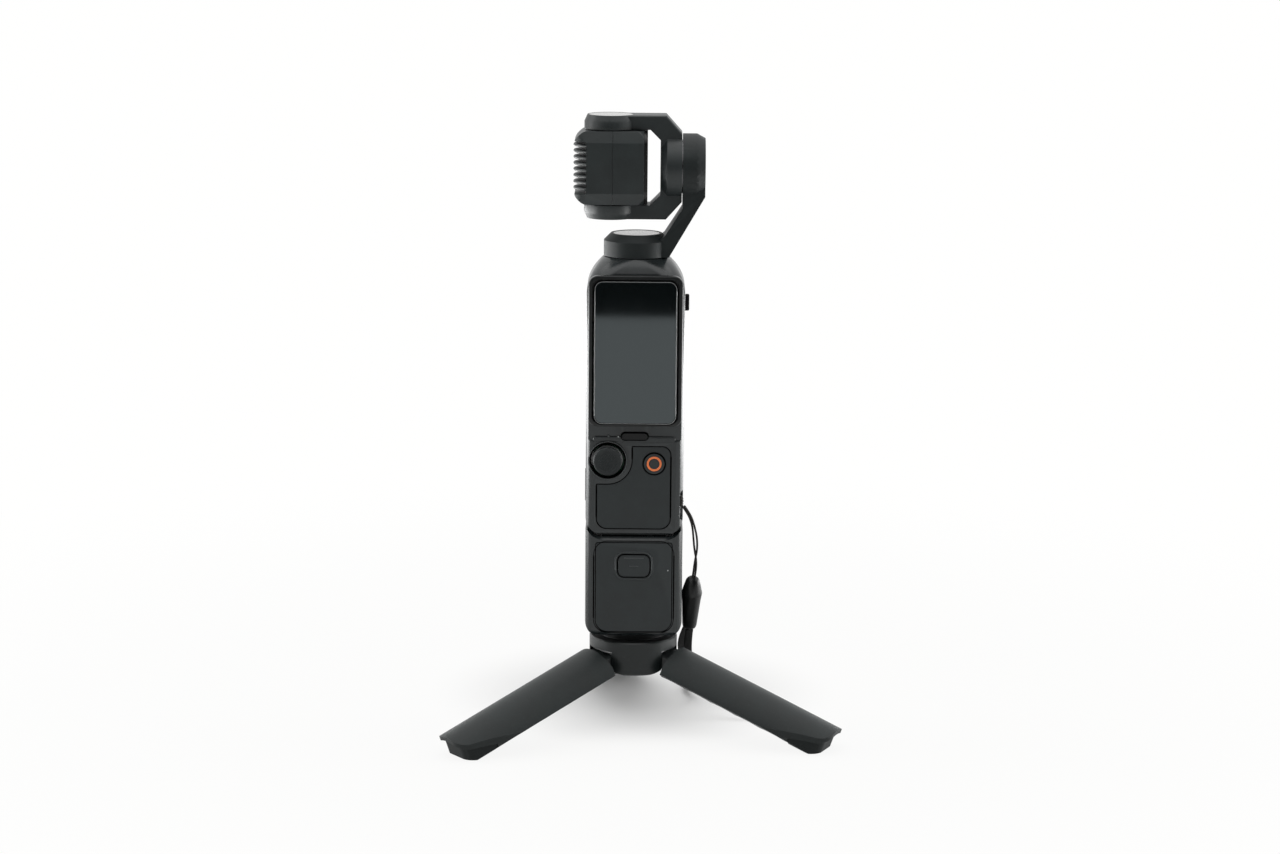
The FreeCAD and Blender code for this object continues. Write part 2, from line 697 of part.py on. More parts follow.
def shoulder_section(rise, inset):
    """Level outline of the shoulders, from the body's plan at 0 to the round neck at 1."""
    side = rise ** 2
    front = SHOULDER_FRONT[rise]
    neck = NECK_R - inset
    plan = plan_corners(inset)
    corners = []
    for x, y, r in plan:
        share = front if y < 0 else side
        corner_r = r + (neck * NECK_ROUND - r) * rise
        corners.append((x + (math.copysign(neck, x) - x) * side,
                        y + (math.copysign(neck, y) - y) * share, corner_r))
    return rounded_wire(corners, "z", NECK_Z - SHOULDER_DROP * (1 - rise))


def body_block(inset):
    """The camera's outer form, moved in by inset: prism, rounded foot and sloping shoulders."""
    half = BODY_HALF - inset
    low, high = BODY_Z + inset, NECK_Z - inset
    shoulder = NECK_Z - SHOULDER_DROP
    corner = max(BODY_CORNER - inset, 0.5)
    plan = plate(plan_corners(inset), "z", low, shoulder)
    rises = sorted(SHOULDER_FRONT)
    dome = Part.makeLoft([shoulder_section(rise, inset) for rise in rises], True, False)
    front_view = plate([(-half, low, corner), (half, low, corner), (half, high, 0), (-half, high, 0)],
                       "y", FRONT_Y, BACK_Y)
    front, back = FRONT_Y + inset, BACK_Y - inset
    side_view = plate([(front, low, 1.0), (back, low, 1.0), (back, high, 0), (front, high, 0)],
                      "x", -half, half)
    return overlap(plan.fuse(dome), front_view, side_view)


def stick_well():
    return rod("y", STICK_X, STICK_Z, STICK_WELL_R, FRONT_Y - 5, FRONT_INNER_Y + 0.5)


def panel_outline(inset):
    """Inset panel under the thumb, with a bite round the stick."""
    left, right = PANEL_LEFT + inset, PANEL_RIGHT - inset
    low, high = BODY_Z + PANEL_LOW + inset, BODY_Z + PANEL_HIGH - inset
    return [(left, low, 3.6), (right, low, 3.6), (right, high, 3.0), (left, high, 0)]


def panel_solid(inset, low, high):
    bite_r = STICK_CLEAR_R + inset
    solid = plate(panel_outline(inset), "y", low, high)
    return solid.cut(rod("y", STICK_X, STICK_Z, bite_r, low - 1, high + 1)) \
                .cut(box(PANEL_LEFT - 1, STICK_X, low - 1, high + 1, STICK_Z - 1, BODY_Z + PANEL_HIGH + 1)) \
                .cut(box(PANEL_LEFT - 1, STICK_X, low - 1, high + 1, STICK_Z - bite_r, STICK_Z)) \
                .cut(box(STICK_X - 1, STICK_X + bite_r, low - 1, high + 1, STICK_Z, BODY_Z + PANEL_HIGH + 1))


def window_outline(extra):
    w, h = WINDOW_HALF + extra, WINDOW_TALL + extra
    return rect(-w, w, WINDOW_Z - h, WINDOW_Z + h, h * 0.98)


def key_outline(extra):
    y, z = KEY_HALF_Y + extra, KEY_TALL + extra
    return rect(KEY_Y - y, KEY_Y + y, KEY_Z - z, KEY_Z + z, y * 0.98)


def card_box(extra, x0, x1):
    return box(x0, x1, CARD_Y - CARD_T / 2 - extra, CARD_Y + CARD_T / 2 + extra,
               CARD_Z - CARD_W / 2 - extra, CARD_Z + CARD_W / 2 + extra)


def lanyard_outline():
    return rect(LANYARD_Y - LANYARD_HALF_Y, LANYARD_Y + LANYARD_HALF_Y,
                LANYARD_Z - LANYARD_TALL, LANYARD_Z + LANYARD_TALL, 1.1)


def pivot_x():
    return PIVOT_SHIFT


def camera_case():
    """Both halves of the camera's case, before it is split."""
    outer = body_block(0)
    step_z = BODY_Z + STEP_H
    screen_z = BODY_Z + SCREEN_STEP_H
    high = NECK_Z + 1
    slope = plate([(FRONT_Y - 1, step_z - 1, 0), (STEP_Y, step_z + STEP_DEPTH, 0),
                   (STEP_Y, high, 0), (FRONT_Y - 1, high, 0)], "x", -BODY_HALF - 1, BODY_HALF + 1)
    outer = outer.cut(slope)
    bezel = rod("y", STICK_X, STICK_Z, STICK_BEZEL_R, FRONT_Y - STICK_BEZEL_H, FRONT_Y + 1)
    outer = outer.fuse(bezel)
    case = outer.cut(body_block(SHELL_WALL).cut(
        box(-BODY_HALF, BODY_HALF, FRONT_Y, SCREEN_INNER_Y, screen_z, high)))
    pocket = plate(lanyard_outline(), "x", BODY_HALF - LANYARD_DEPTH, BODY_HALF + 1)
    lining = plate(rect(LANYARD_Y - LANYARD_HALF_Y - 1, LANYARD_Y + LANYARD_HALF_Y + 1,
                        LANYARD_Z - LANYARD_TALL - 1, LANYARD_Z + LANYARD_TALL + 1, 1.5),
                   "x", BODY_HALF - LANYARD_DEPTH - 1, BODY_HALF - SHELL_WALL + 0.2)
    case = case.fuse(lining.common(body_block(0.3))).cut(pocket)
    case = case.cut(stick_well())
    case = case.cut(panel_solid(-PANEL_GAP, FRONT_Y - 1, FRONT_Y + PANEL_T))
    case = case.cut(rod("y", RECORD_X, RECORD_Z, RECORD_R + RECORD_GAP, FRONT_Y - 1, FRONT_INNER_Y + 1))
    case = case.cut(plate(window_outline(SEATED), "y", FRONT_Y - 1, SCREEN_INNER_Y + 1))
    case = case.cut(plate(key_outline(MOVING), "x", BODY_HALF - SHELL_WALL - 1, BODY_HALF + 1))
    case = case.cut(card_box(MOVING, -BODY_HALF - 1, -BODY_HALF + SHELL_WALL + 1))
    case = case.cut(rod("y", pivot_x(), PIVOT_Z, PIVOT_BOSS_R + RUNNING, STEP_Y - 1, SCREEN_INNER_Y + 1))
    case = case.cut(rod("z", 0, 0, PAN_HUB_R + MOVING, NECK_Z - SHELL_WALL - 1, NECK_Z + 1))
    case = case.cut(plug_slot(BODY_Z - 1, BODY_Z + SHELL_WALL + 1))
    for side in (-1, 1):
        case = case.cut(latch_slot(side))
    pin_low, pin_high = LANYARD_Z - LANYARD_TALL - 0.8, LANYARD_Z + LANYARD_TALL + 0.8
    case = case.cut(rod("z", BODY_HALF - LANYARD_PIN_IN, LANYARD_Y, LANYARD_PIN_R + 0.02, pin_low, pin_high))
    return case.removeSplitter()


def make_lanyard_pin():
    low, high = LANYARD_Z - LANYARD_TALL - 0.8, LANYARD_Z + LANYARD_TALL + 0.8
    return rod("z", BODY_HALF - LANYARD_PIN_IN, LANYARD_Y, LANYARD_PIN_R, low, high)


def make_control_panel():
    panel = panel_solid(0, FRONT_Y, FRONT_Y + PANEL_T)
    return panel.cut(rod("y", RECORD_X, RECORD_Z, RECORD_R + RECORD_GAP, FRONT_Y - 1, FRONT_Y + 2))


def make_status_window():
    pane = plate(window_outline(0), "y", STEP_Y + 0.1, SCREEN_INNER_Y + 0.8)
    flange = plate(window_outline(0.7), "y", SCREEN_INNER_Y, SCREEN_INNER_Y + 0.8)
    return join(pane, flange)


# Stick: a press-slide carrier, a rocker ring and the cap

STICK_CENTRE_Y = FRONT_Y + 1.0
ROCKER_R = 3.2
CARRIER_IN_R = 3.6
CARRIER_OUT_R = 4.9
TRUNNION_R = 0.45


def make_stick_carrier():
    y0, y1 = STICK_CENTRE_Y - 0.72, FRONT_INNER_Y + 0.9
    body = ring("y", STICK_X, STICK_Z, CARRIER_OUT_R, CARRIER_IN_R, y0, y1)
    base = rod("y", STICK_X, STICK_Z, CARRIER_OUT_R, y1, y1 + 0.6)
    bore = rod("x", STICK_CENTRE_Y, STICK_Z, TRUNNION_R + RUNNING,
               STICK_X - CARRIER_OUT_R, STICK_X + CARRIER_OUT_R)
    return join(body, base).cut(bore)


def make_stick_rocker():
    body = ring("y", STICK_X, STICK_Z, ROCKER_R, 2.4, STICK_CENTRE_Y - 0.7, STICK_CENTRE_Y + 0.7)
    reach = CARRIER_OUT_R - 0.5
    pins = rod("x", STICK_CENTRE_Y, STICK_Z, TRUNNION_R, STICK_X - reach, STICK_X + reach)
    pins = pins.cut(rod("y", STICK_X, STICK_Z, ROCKER_R - 0.3, STICK_CENTRE_Y - 2, STICK_CENTRE_Y + 2))
    bore = rod("z", STICK_X, STICK_CENTRE_Y, TRUNNION_R + RUNNING, STICK_Z - 4, STICK_Z + 4)
    return join(body, pins).cut(bore)


def make_stick_cap():
    base_y = STICK_CENTRE_Y - 2.0
    face_y = base_y - 1.6
    cap = rod("y", STICK_X, STICK_Z, STICK_CAP_R, face_y, base_y)
    cap = cap.makeFillet(0.6, [edge for edge in cap.Edges
                               if len(edge.Vertexes) == 1 and abs(edge.CenterOfMass.y - face_y) < 0.01])
    dish = Part.makeSphere(30.0, Vector(STICK_X, face_y - 29.7, STICK_Z))
    stem = rod("y", STICK_X, STICK_Z, 1.5, base_y - 0.5, STICK_CENTRE_Y + 0.8)
    pins = rod("z", STICK_X, STICK_CENTRE_Y, TRUNNION_R, STICK_Z - 2.9, STICK_Z + 2.9)
    return join(cap.cut(dish), stem, pins)


# Buttons, key and card

def make_record_button():
    face_y = FRONT_Y - 0.3
    cap = rod("y", RECORD_X, RECORD_Z, RECORD_R, face_y, FRONT_Y + 1.0)
    stem = rod("y", RECORD_X, RECORD_Z, 1.6, FRONT_Y + 1.0, FRONT_INNER_Y + 0.4)
    flange = rod("y", RECORD_X, RECORD_Z, 3.0, FRONT_INNER_Y + 0.3, FRONT_INNER_Y + 0.8)
    groove = ring("y", RECORD_X, RECORD_Z, RECORD_RING_OUT + 0.02, RECORD_RING_IN - 0.02,
                  face_y - 1, face_y + 0.4)
    return join(cap, stem, flange).cut(groove)


def make_record_ring():
    face_y = FRONT_Y - 0.3
    return ring("y", RECORD_X, RECORD_Z, RECORD_RING_OUT, RECORD_RING_IN, face_y, face_y + 0.4)


def make_side_key():
    inner = BODY_HALF - SHELL_WALL
    cap = plate(key_outline(0), "x", inner - 1.0, BODY_HALF + KEY_PROUD)
    flange = plate(key_outline(0.8), "x", inner - 1.1, inner - 0.3)
    return join(cap, flange)


def make_memory_card():
    return card_box(0, -BODY_HALF - CARD_PROUD, -BODY_HALF - CARD_PROUD + CARD_L)


def make_card_socket():
    end = -BODY_HALF - CARD_PROUD + CARD_L + MOVING
    start = -BODY_HALF + SHELL_WALL + SEATED
    return card_box(0.7, start, end + 0.6).cut(card_box(0.15, start - 1, end))


# Inside the camera

def make_chassis():
    """Sheet frame with a shelf under the pan motor and one over the socket."""
    half = BODY_HALF - SHELL_WALL - SEATED
    low, high = BODY_Z + CHASSIS_LOW, NECK_Z - PAN_POST_DROP
    back = BACK_Y - SHELL_WALL - 6.0
    sheet = box(-half, half, FRAME_Y, FRAME_Y + FRAME_T, low, high)
    shelf = box(-half, half, FRAME_Y, back, high - 1.0, high)
    floor = box(-half, half, FRAME_Y, back - 4, low, low + 1.0)
    frame = join(sheet, shelf, floor)
    frame = frame.cut(rod("z", 0, 0, SHAFT_R + 2.7, high - 2, high + 1))
    inner = BODY_HALF - SHELL_WALL - 3.8
    frame = frame.cut(box(inner, BODY_HALF, FRAME_Y + FRAME_T, KEY_Y + 3, KEY_Z - 4.5, KEY_Z + 4.5))
    return frame.cut(card_box(1.0, -BODY_HALF, 5))


def make_board():
    low, high = BODY_Z + BOARD_LOW, BODY_Z + BOARD_HIGH
    half = BODY_HALF - SHELL_WALL - 1.0
    board = box(-half, half, BOARD_Y, BOARD_Y + BOARD_T, low, high)
    chip = box(-2, 8, BOARD_Y - 1.2, BOARD_Y, low + 2, low + 12)
    notch = box(BODY_HALF - LANYARD_DEPTH - 1.5, BODY_HALF + 4, FRONT_Y - 5, 0,
                low - 1, LANYARD_Z + LANYARD_TALL + 1.5)
    return join(board, chip).cut(notch)


def make_switches():
    """Dome switches behind the stick, the record button and the side key."""
    stick_y = FRONT_INNER_Y + 0.9 + 0.6 + STICK_PRESS + SEATED
    record_y = FRONT_INNER_Y + 0.8 + RECORD_TRAVEL + SEATED
    key_x = BODY_HALF - SHELL_WALL - 1.1 - KEY_TRAVEL - SEATED
    stick = box(STICK_X - 2, STICK_X + 2, stick_y, BOARD_Y, STICK_Z - 2, STICK_Z + 2)
    record = box(RECORD_X - 2, RECORD_X + 2, record_y, BOARD_Y, RECORD_Z - 2, RECORD_Z + 2)
    key = box(key_x - 1.5, key_x, FRAME_Y + FRAME_T, KEY_Y + 1.5, KEY_Z - 2, KEY_Z + 2)
    return Part.makeCompound([stick, record, key])


def make_battery():
    half = BODY_HALF - BATTERY_SIDE
    front = FRAME_Y + FRAME_T + SEATED
    back = BACK_Y - SHELL_WALL - 1.0
    cell = plate(rect(-half, half, front + 3.0, back, 3.0), "z", BODY_Z + BATTERY_LOW, NECK_Z - BATTERY_DROP)
    tab = box(-4, 4, front, front + 3.5, BODY_Z + BATTERY_LOW + 4, NECK_Z - BATTERY_DROP - 5)
    return join(cell, tab)


def make_usb_socket():
    x, y = PLUG_HALF_X + SOCKET_WALL, PLUG_HALF_Y + SOCKET_WALL
    low, high = BODY_Z + SHELL_WALL, BODY_Z + 9.0
    shell = plate(rect(-x - 0.3, x + 0.3, -y - 0.3, y + 0.3, 1.2), "z", low, high)
    inside = rect(-x + 0.2, x - 0.2, -y + 0.2, y - 0.2, 1.0)
    return shell.cut(plate(inside, "z", low - 1, BODY_Z + PLUG_REACH + 0.5))


# Screen: tray with its pivot, flange, panel and cover glass

def screen_outline(inset):
    half = SCREEN_W / 2 - inset
    return rect(-half, half, SCREEN_LOW + inset, SCREEN_HIGH - inset, max(SCREEN_CORNER - inset * 0.6, 0.5))


def make_screen_tray():
    tray = plate(screen_outline(0), "y", SCREEN_FACE_Y, SCREEN_BACK_Y)
    edges = [edge for edge in tray.Edges if abs(edge.CenterOfMass.y - SCREEN_FACE_Y) < 0.01]
    tray = tray.makeFillet(0.5, edges)
    under_glass = SCREEN_FACE_Y + GLASS_T
    tray = tray.cut(plate(screen_outline(GLASS_MARGIN - 0.05), "y", SCREEN_FACE_Y - 1, under_glass))
    tray = tray.cut(plate(screen_outline(GLASS_MARGIN + 0.6), "y", SCREEN_FACE_Y, under_glass + PANEL_LCD_T))
    boss = rod("y", pivot_x(), PIVOT_Z, PIVOT_BOSS_R, SCREEN_BACK_Y - 0.5, SCREEN_INNER_Y + 0.2)
    return join(tray, boss)


def make_screen_pivot():
    y0 = SCREEN_INNER_Y + 0.2
    flange = rod("y", pivot_x(), PIVOT_Z, PIVOT_FLANGE_R, y0, y0 + 0.9)
    return flange.cut(rod("y", pivot_x(), PIVOT_Z, 1.2, y0 - 1, y0 + 2))


def make_screen_glass():
    glass = plate(screen_outline(GLASS_MARGIN), "y", SCREEN_FACE_Y - 0.1, SCREEN_FACE_Y + GLASS_T)
    edges = [edge for edge in glass.Edges if abs(edge.CenterOfMass.y - SCREEN_FACE_Y + 0.1) < 0.01]
    return glass.makeFillet(0.15, edges)


def make_display():
    return plate(screen_outline(GLASS_MARGIN + 0.65), "y", SCREEN_FACE_Y + GLASS_T,
                 SCREEN_FACE_Y + GLASS_T + PANEL_LCD_T)


# Pan stage

def make_pan_stator():
    flange_z = NECK_Z - SHELL_WALL
    flange = rod("z", 0, 0, NECK_R - SHELL_WALL - 0.6, flange_z - 1.4, flange_z)
    hub = rod("z", 0, 0, PAN_HUB_R, flange_z, PAN_Z + 0.6)
    coils = rod("z", 0, 0, COIL_R, PAN_Z + 0.6, PAN_Z + 0.6 + COIL_H)
    post = rod("z", 0, 0, PAN_POST_R, NECK_Z - PAN_POST_DROP, flange_z - 1.4)
    return join(flange, hub, coils, post).cut(rod("z", 0, 0, SHAFT_R + RUNNING, 0, PAN_TOP + RUNNING))


def make_pan_rotor():
    ceiling = PAN_Z + PAN_DRUM_H + PAN_CHAMFER - DRUM_WALL - 0.5
    disc = rod("z", 0, 0, MOTOR_R, ceiling - 0.9, ceiling)
    magnets = ring("z", 0, 0, MOTOR_R, MOTOR_R - MOTOR_RING_T, PAN_Z + 0.5, ceiling - 0.5)
    shaft = rod("z", 0, 0, SHAFT_R, NECK_Z - PAN_POST_DROP + 1.0, ceiling)
    return join(disc, magnets, shaft)


def arm_outline():
    """Side view of the pan stage's sloping arm."""
    drum_low = PAN_Z
    outer_low = (PAN_DRUM_R - 0.05, drum_low, 0)
    shoulder = ROLL_Z - ROLL_R + ROLL_CHAMFER
    return [(PAN_DRUM_R - 3.0, drum_low, 0), outer_low, (ROLL_END_X, shoulder, 0.6), (ROLL_END_X, ROLL_Z, 0),
            (ROLL_FACE_X + MOVING, ROLL_Z, 0), (ROLL_FACE_X + MOVING, ROLL_Z - 13.4, 0.8),
            (9.3, PAN_TOP - 0.3, 0), (PAN_DRUM_R - 3.0, PAN_TOP - 1.5, 0)]


def make_pan_arm():
    drum = join(rod("z", 0, 0, PAN_DRUM_R, PAN_Z, PAN_Z + PAN_DRUM_H),
                cone("z", 0, 0, PAN_DRUM_R, PAN_TOP_R, PAN_Z + PAN_DRUM_H, PAN_TOP))
    arm = plate(arm_outline(), "y", -ARM_HALF_Y, ARM_HALF_Y)
    start = ROLL_FACE_X + MOVING
    end = ROLL_END_X - ROLL_CHAMFER_L
    barrel = join(rod("x", 0, ROLL_Z, ROLL_R, start, end),
                  cone("x", 0, ROLL_Z, ROLL_R, ROLL_R - ROLL_CHAMFER, end, ROLL_END_X))
    body = join(drum, arm, barrel)
    ceiling = PAN_TOP - DRUM_WALL - 0.5
    body = body.cut(rod("z", 0, 0, MOTOR_R + MOVING, PAN_Z - 1, ceiling))
    body = body.cut(rod("z", 0, 0, PAN_CAP_R + RUNNING, PAN_TOP - 0.5, PAN_TOP + 1))
    body = body.cut(rod("x", 0, ROLL_Z, MOTOR_R + MOVING, start - 1, ROLL_END_X - DRUM_WALL))
    return body.removeSplitter()


def make_pan_cap():
    return rod("z", 0, 0, PAN_CAP_R, PAN_TOP - 0.5, PAN_TOP - 0.1)


def make_roll_stator():
    wall = ROLL_END_X - DRUM_WALL
    flange = rod("x", 0, ROLL_Z, MOTOR_R, wall - 0.9, wall)
    coils = rod("x", 0, ROLL_Z, COIL_R, ROLL_FACE_X + 1.4, wall - 0.9)
    return join(flange, coils).cut(rod("x", 0, ROLL_Z, SHAFT_R + RUNNING, ROLL_FACE_X, ROLL_END_X))


# Roll stage

def yoke_outline():
    """Front view of the yoke, a C round the camera head."""
    left = TILT_X - YOKE_HALF_Y
    low, high = ROLL_Z - YOKE_HALF, ROLL_Z + YOKE_HALF
    in_low, in_high = ROLL_Z - YOKE_INNER_HALF, ROLL_Z + YOKE_INNER_HALF
    right = ROLL_FACE_X
    face = ROLL_R + 0.4
    window = YOKE_INNER_X - YOKE_WINDOW_CHAMFER
    return [(left, low, 0), (right - YOKE_CHAMFER, low, 0),
            (right, ROLL_Z - face, 0), (right, ROLL_Z + face, 0), (right - YOKE_CHAMFER, high, 0),
            (left, high, 0), (left, in_high, 0), (window, in_high, 0),
            (YOKE_INNER_X, in_high - YOKE_WINDOW_CHAMFER, 0), (YOKE_INNER_X, in_low + YOKE_WINDOW_CHAMFER, 0),
            (window, in_low, 0), (left, in_low, 0)]


def yoke_plan(low, high):
    """Plan of the yoke: a disc at the tilt axis, a narrower limb to the drum, all edges chamfered."""
    wide, edge, half = YOKE_HALF_Y, YOKE_EDGE, YOKE_LIMB_Y
    narrow, taper = YOKE_HALF_Y - YOKE_TAPER, YOKE_TAPER_H
    disc = join(cone("z", TILT_X, 0, narrow, wide, low, low + taper),
                rod("z", TILT_X, 0, wide, low + taper, high - taper),
                cone("z", TILT_X, 0, wide, narrow, high - taper, high))
    limb = plate([(-half, low + edge, 0), (-half + edge, low, 0), (half - edge, low, 0),
                  (half, low + edge, 0), (half, high - edge, 0),
                  (half - edge, high, 0), (-half + edge, high, 0),
                  (-half, high - edge, 0)], "x", TILT_X, ROLL_FACE_X)
    return join(disc, limb)


def make_yoke():
    low, high = ROLL_Z - YOKE_HALF, ROLL_Z + YOKE_HALF
    frame = plate(yoke_outline(), "y", -YOKE_HALF_Y, YOKE_HALF_Y).common(yoke_plan(low, high))
    drum = rod("x", 0, ROLL_Z, ROLL_R, YOKE_DRUM_X, ROLL_FACE_X)
    flare = cone("x", 0, ROLL_Z, YOKE_HALF_Y, ROLL_R, YOKE_DRUM_X - YOKE_FLARE, YOKE_DRUM_X)
    body = join(frame, drum, flare)
    body = body.cut(rod("x", 0, ROLL_Z, MOTOR_R + RUNNING, ROLL_FACE_X - 0.9, ROLL_FACE_X + 1))
    body = body.cut(rod("x", 0, ROLL_Z, SHAFT_R + RUNNING, YOKE_DRUM_X - 0.6, ROLL_FACE_X + 1))
    in_low, in_high = ROLL_Z - YOKE_INNER_HALF, ROLL_Z + YOKE_INNER_HALF
    body = body.cut(rod("z", TILT_X, 0, TILT_POCKET_R, in_high + TILT_SKIN, high + 1))
    body = body.cut(rod("z", TILT_X, 0, TILT_POCKET_R, low - 1, low + CAP_T))
    return body.cut(rod("z", TILT_X, 0, SHAFT_R + RUNNING, low + CAP_T + 0.6, high))


def make_yoke_caps():
    low, high = ROLL_Z - YOKE_HALF, ROLL_Z + YOKE_HALF
    upper = rod("z", TILT_X, 0, TILT_POCKET_R - RUNNING, high - CAP_T, high - 0.05)
    lower = rod("z", TILT_X, 0, TILT_POCKET_R - RUNNING, low + 0.05, low + CAP_T)
    return Part.makeCompound([upper, lower])


def make_tilt_stator():
    floor = ROLL_Z + YOKE_INNER_HALF + TILT_SKIN
    top = ROLL_Z + YOKE_HALF - CAP_T
    return ring("z", TILT_X, 0, TILT_POCKET_R - 0.4, SHAFT_R + 0.6, floor, top)


def make_roll_rotor():
    face = ROLL_FACE_X
    disc = rod("x", 0, ROLL_Z, MOTOR_R, face - 0.9, face)
    magnets = ring("x", 0, ROLL_Z, MOTOR_R, MOTOR_R - MOTOR_RING_T, face - 0.5, ROLL_END_X - DRUM_WALL - 1.3)
    shaft = rod("x", 0, ROLL_Z, SHAFT_R, YOKE_DRUM_X - 0.5, ROLL_END_X - DRUM_WALL - 0.4)
    return join(disc, magnets, shaft)


# Camera head

def head_block(inset, left, right):
    """Box with bevelled top and bottom, between two planes square to X."""
    half_z = YOKE_INNER_HALF - MOVING - inset
    half_y = HEAD_HALF_Y - inset
    left_edge = HEAD_LEFT + inset
    low, high = ROLL_Z - half_z, ROLL_Z + half_z
    r = max(HEAD_CORNER - inset, 0.5)
    bevel = HEAD_BEVEL
    far = HEAD_RIGHT + 5
    plan = plate([(left_edge, -half_y, r), (far, -half_y, 0), (far, half_y, 0), (left_edge, half_y, r)],
                 "z", low, high)
    top_left = left_edge + HEAD_BEVEL_X
    left_bevel, turn = HEAD_LEFT_BEVEL, max(HEAD_LEFT_ROUND - inset, 0.5)
    front_view = plate([(top_left, low, turn), (far, low, 0), (far, high, 0), (top_left, high, turn),
                        (left_edge, high - left_bevel, turn), (left_edge, low + left_bevel, turn)],
                       "y", -20, 20)
    y_in = half_y - HEAD_BEVEL_Y
    side_view = plate([(-y_in, low, 0), (y_in, low, 0), (half_y, low + bevel, 0.5),
                       (half_y, high - bevel, 0.5), (y_in, high, 0),
                       (-y_in, high, 0), (-half_y, high - bevel, 0.5),
                       (-half_y, low + bevel, 0.5)], "x", -30, 30)
    return overlap(plan, front_view, side_view, box(left, right, -30, 30, low - 1, high + 1))


def head_sweep():
    """The room inside the yoke in which the head turns: a drum with cone ends, clear of the limb."""
    half = YOKE_INNER_HALF
    edge = half - HEAD_SWEEP_DROP
    end_r = HEAD_SWEEP_R - YOKE_WINDOW_CHAMFER
    return join(rod("z", TILT_X, 0, HEAD_SWEEP_R, ROLL_Z - edge, ROLL_Z + edge),
                cone("z", TILT_X, 0, HEAD_SWEEP_R, end_r, ROLL_Z + edge, ROLL_Z + edge + YOKE_WINDOW_CHAMFER),
                cone("z", TILT_X, 0, end_r, HEAD_SWEEP_R, ROLL_Z - edge - YOKE_WINDOW_CHAMFER, ROLL_Z - edge))


def make_head_rear():
    body = head_block(0, HEAD_LEFT - 1, HEAD_SEAM_X - 0.05)
    root = HEAD_LEFT + FIN_DEPTH
    slot_h = FIN_PITCH - FIN_T
    for i in range(FIN_COUNT + 1):
        z = ROLL_Z + (i - FIN_COUNT / 2) * FIN_PITCH
        body = body.cut(plate(rect(HEAD_LEFT - 2, root, z - slot_h / 2, z + slot_h / 2, slot_h * 0.45),
                              "y", -HEAD_HALF_Y - 1, HEAD_HALF_Y + 1))
    body = body.cut(head_block(HEAD_WALL, root + HEAD_WALL, HEAD_SEAM_X + 1))
    in_low, in_high = ROLL_Z - YOKE_INNER_HALF, ROLL_Z + YOKE_INNER_HALF
    thick = HEAD_WALL + MOVING
    upper = rod("z", TILT_X, 0, SHAFT_R, in_high - thick, ROLL_Z + YOKE_HALF - CAP_T - 0.3)
    lower = rod("z", TILT_X, 0, SHAFT_R, ROLL_Z - YOKE_HALF + CAP_T + 0.9, in_low + thick)
    return join(body, upper, lower)


def make_head_front():
    body = head_block(0, HEAD_SEAM_X, HEAD_RIGHT).common(head_sweep())
    body = body.cut(head_block(HEAD_WALL, HEAD_SEAM_X - 1, HEAD_RIGHT - HEAD_WALL))
    body = body.cut(rod("x", 0, ROLL_Z, LENS_TUBE_R + RUNNING, HEAD_RIGHT - 3, HEAD_RIGHT + 1))
    return body.cut(rod("z", TILT_X, 0, SHAFT_R + SEATED, ROLL_Z - 30, ROLL_Z + 30))


def make_lens_barrel():
    half_z = YOKE_INNER_HALF - MOVING - 0.1
    face = HEAD_RIGHT + BEZEL_T
    corners = rect(-BEZEL_HALF_Y, BEZEL_HALF_Y, ROLL_Z - half_z, ROLL_Z + half_z, BEZEL_CORNER)
    bezel = plate(corners, "x", HEAD_RIGHT, face).common(head_sweep())
    tube = rod("x", 0, ROLL_Z, LENS_TUBE_R, HEAD_RIGHT - SENSOR_BACK, HEAD_RIGHT + 0.5)
    body = join(bezel, tube)
    body = body.cut(rod("x", 0, ROLL_Z, LENS_GLASS_R + RUNNING, face - 1.0, face + 1))
    return body.cut(cone("x", 0, ROLL_Z, 3.0, 5.6, HEAD_RIGHT - 6, face))


def make_lens_glass():
    face = HEAD_RIGHT + BEZEL_T
    return rod("x", 0, ROLL_Z, LENS_GLASS_R, face - 1.0, face - 0.2)


def make_sensor_board():
    back = HEAD_RIGHT - SENSOR_BACK
    board = box(back - SENSOR_T, back, -SENSOR_HALF_Y, SENSOR_HALF_Y,
                ROLL_Z - SENSOR_HALF_Z, ROLL_Z + SENSOR_HALF_Z)
    reach = HEAD_HALF_Y - HEAD_WALL - SEATED
    holder = box(back - 2 * SENSOR_T, back - SENSOR_T, -reach, reach,
                 ROLL_Z - SENSOR_ARM_Z, ROLL_Z + SENSOR_ARM_Z)
    return board.fuse(holder)


# Wrist strap: routes of its cords, worked as straight runs joined by arcs

SLEEVE_TOP = Vector(20.0, -3.0, 52.1)
SLEEVE_END = Vector(19.0, 3.0, 33.5)

CORD_ROUTE = [(16.35, -12.2, 78.6), (17.6, -11.5, 76.7), (18.9, -10.4, 74.2), (19.9, -9.0, 70.8),
              (20.5, -7.3, 66.8), (20.8, -5.8, 62.4), (20.8, -4.6, 58.0), (20.5, -3.7, 54.0)]

WEBBING_ROUTE = [(19.0, 1.6, 32.8), (18.5, 3.6, 28.0), (18.8, 7.4, 21.8), (22.2, 10.4, 15.6),
                 (27.0, 10.8, 9.8), (32.4, 8.4, 4.8), (38.6, 5.5, 1.9), (45.5, 6.6, 1.5),
                 (50.4, 11.6, 1.5), (51.3, 18.5, 1.5), (47.8, 25.2, 1.5), (43.8, 32.0, 1.5),
                 (40.6, 39.8, 1.5), (38.8, 48.0, 1.5), (33.4, 54.2, 1.5), (25.2, 54.4, 1.5),
                 (19.2, 49.0, 1.5), (18.8, 41.0, 1.6), (21.2, 33.4, 3.4), (20.8, 25.6, 8.2),
                 (18.8, 18.6, 14.4), (16.8, 12.8, 21.4), (16.4, 8.2, 28.2), (18.4, 5.0, 33.8)]


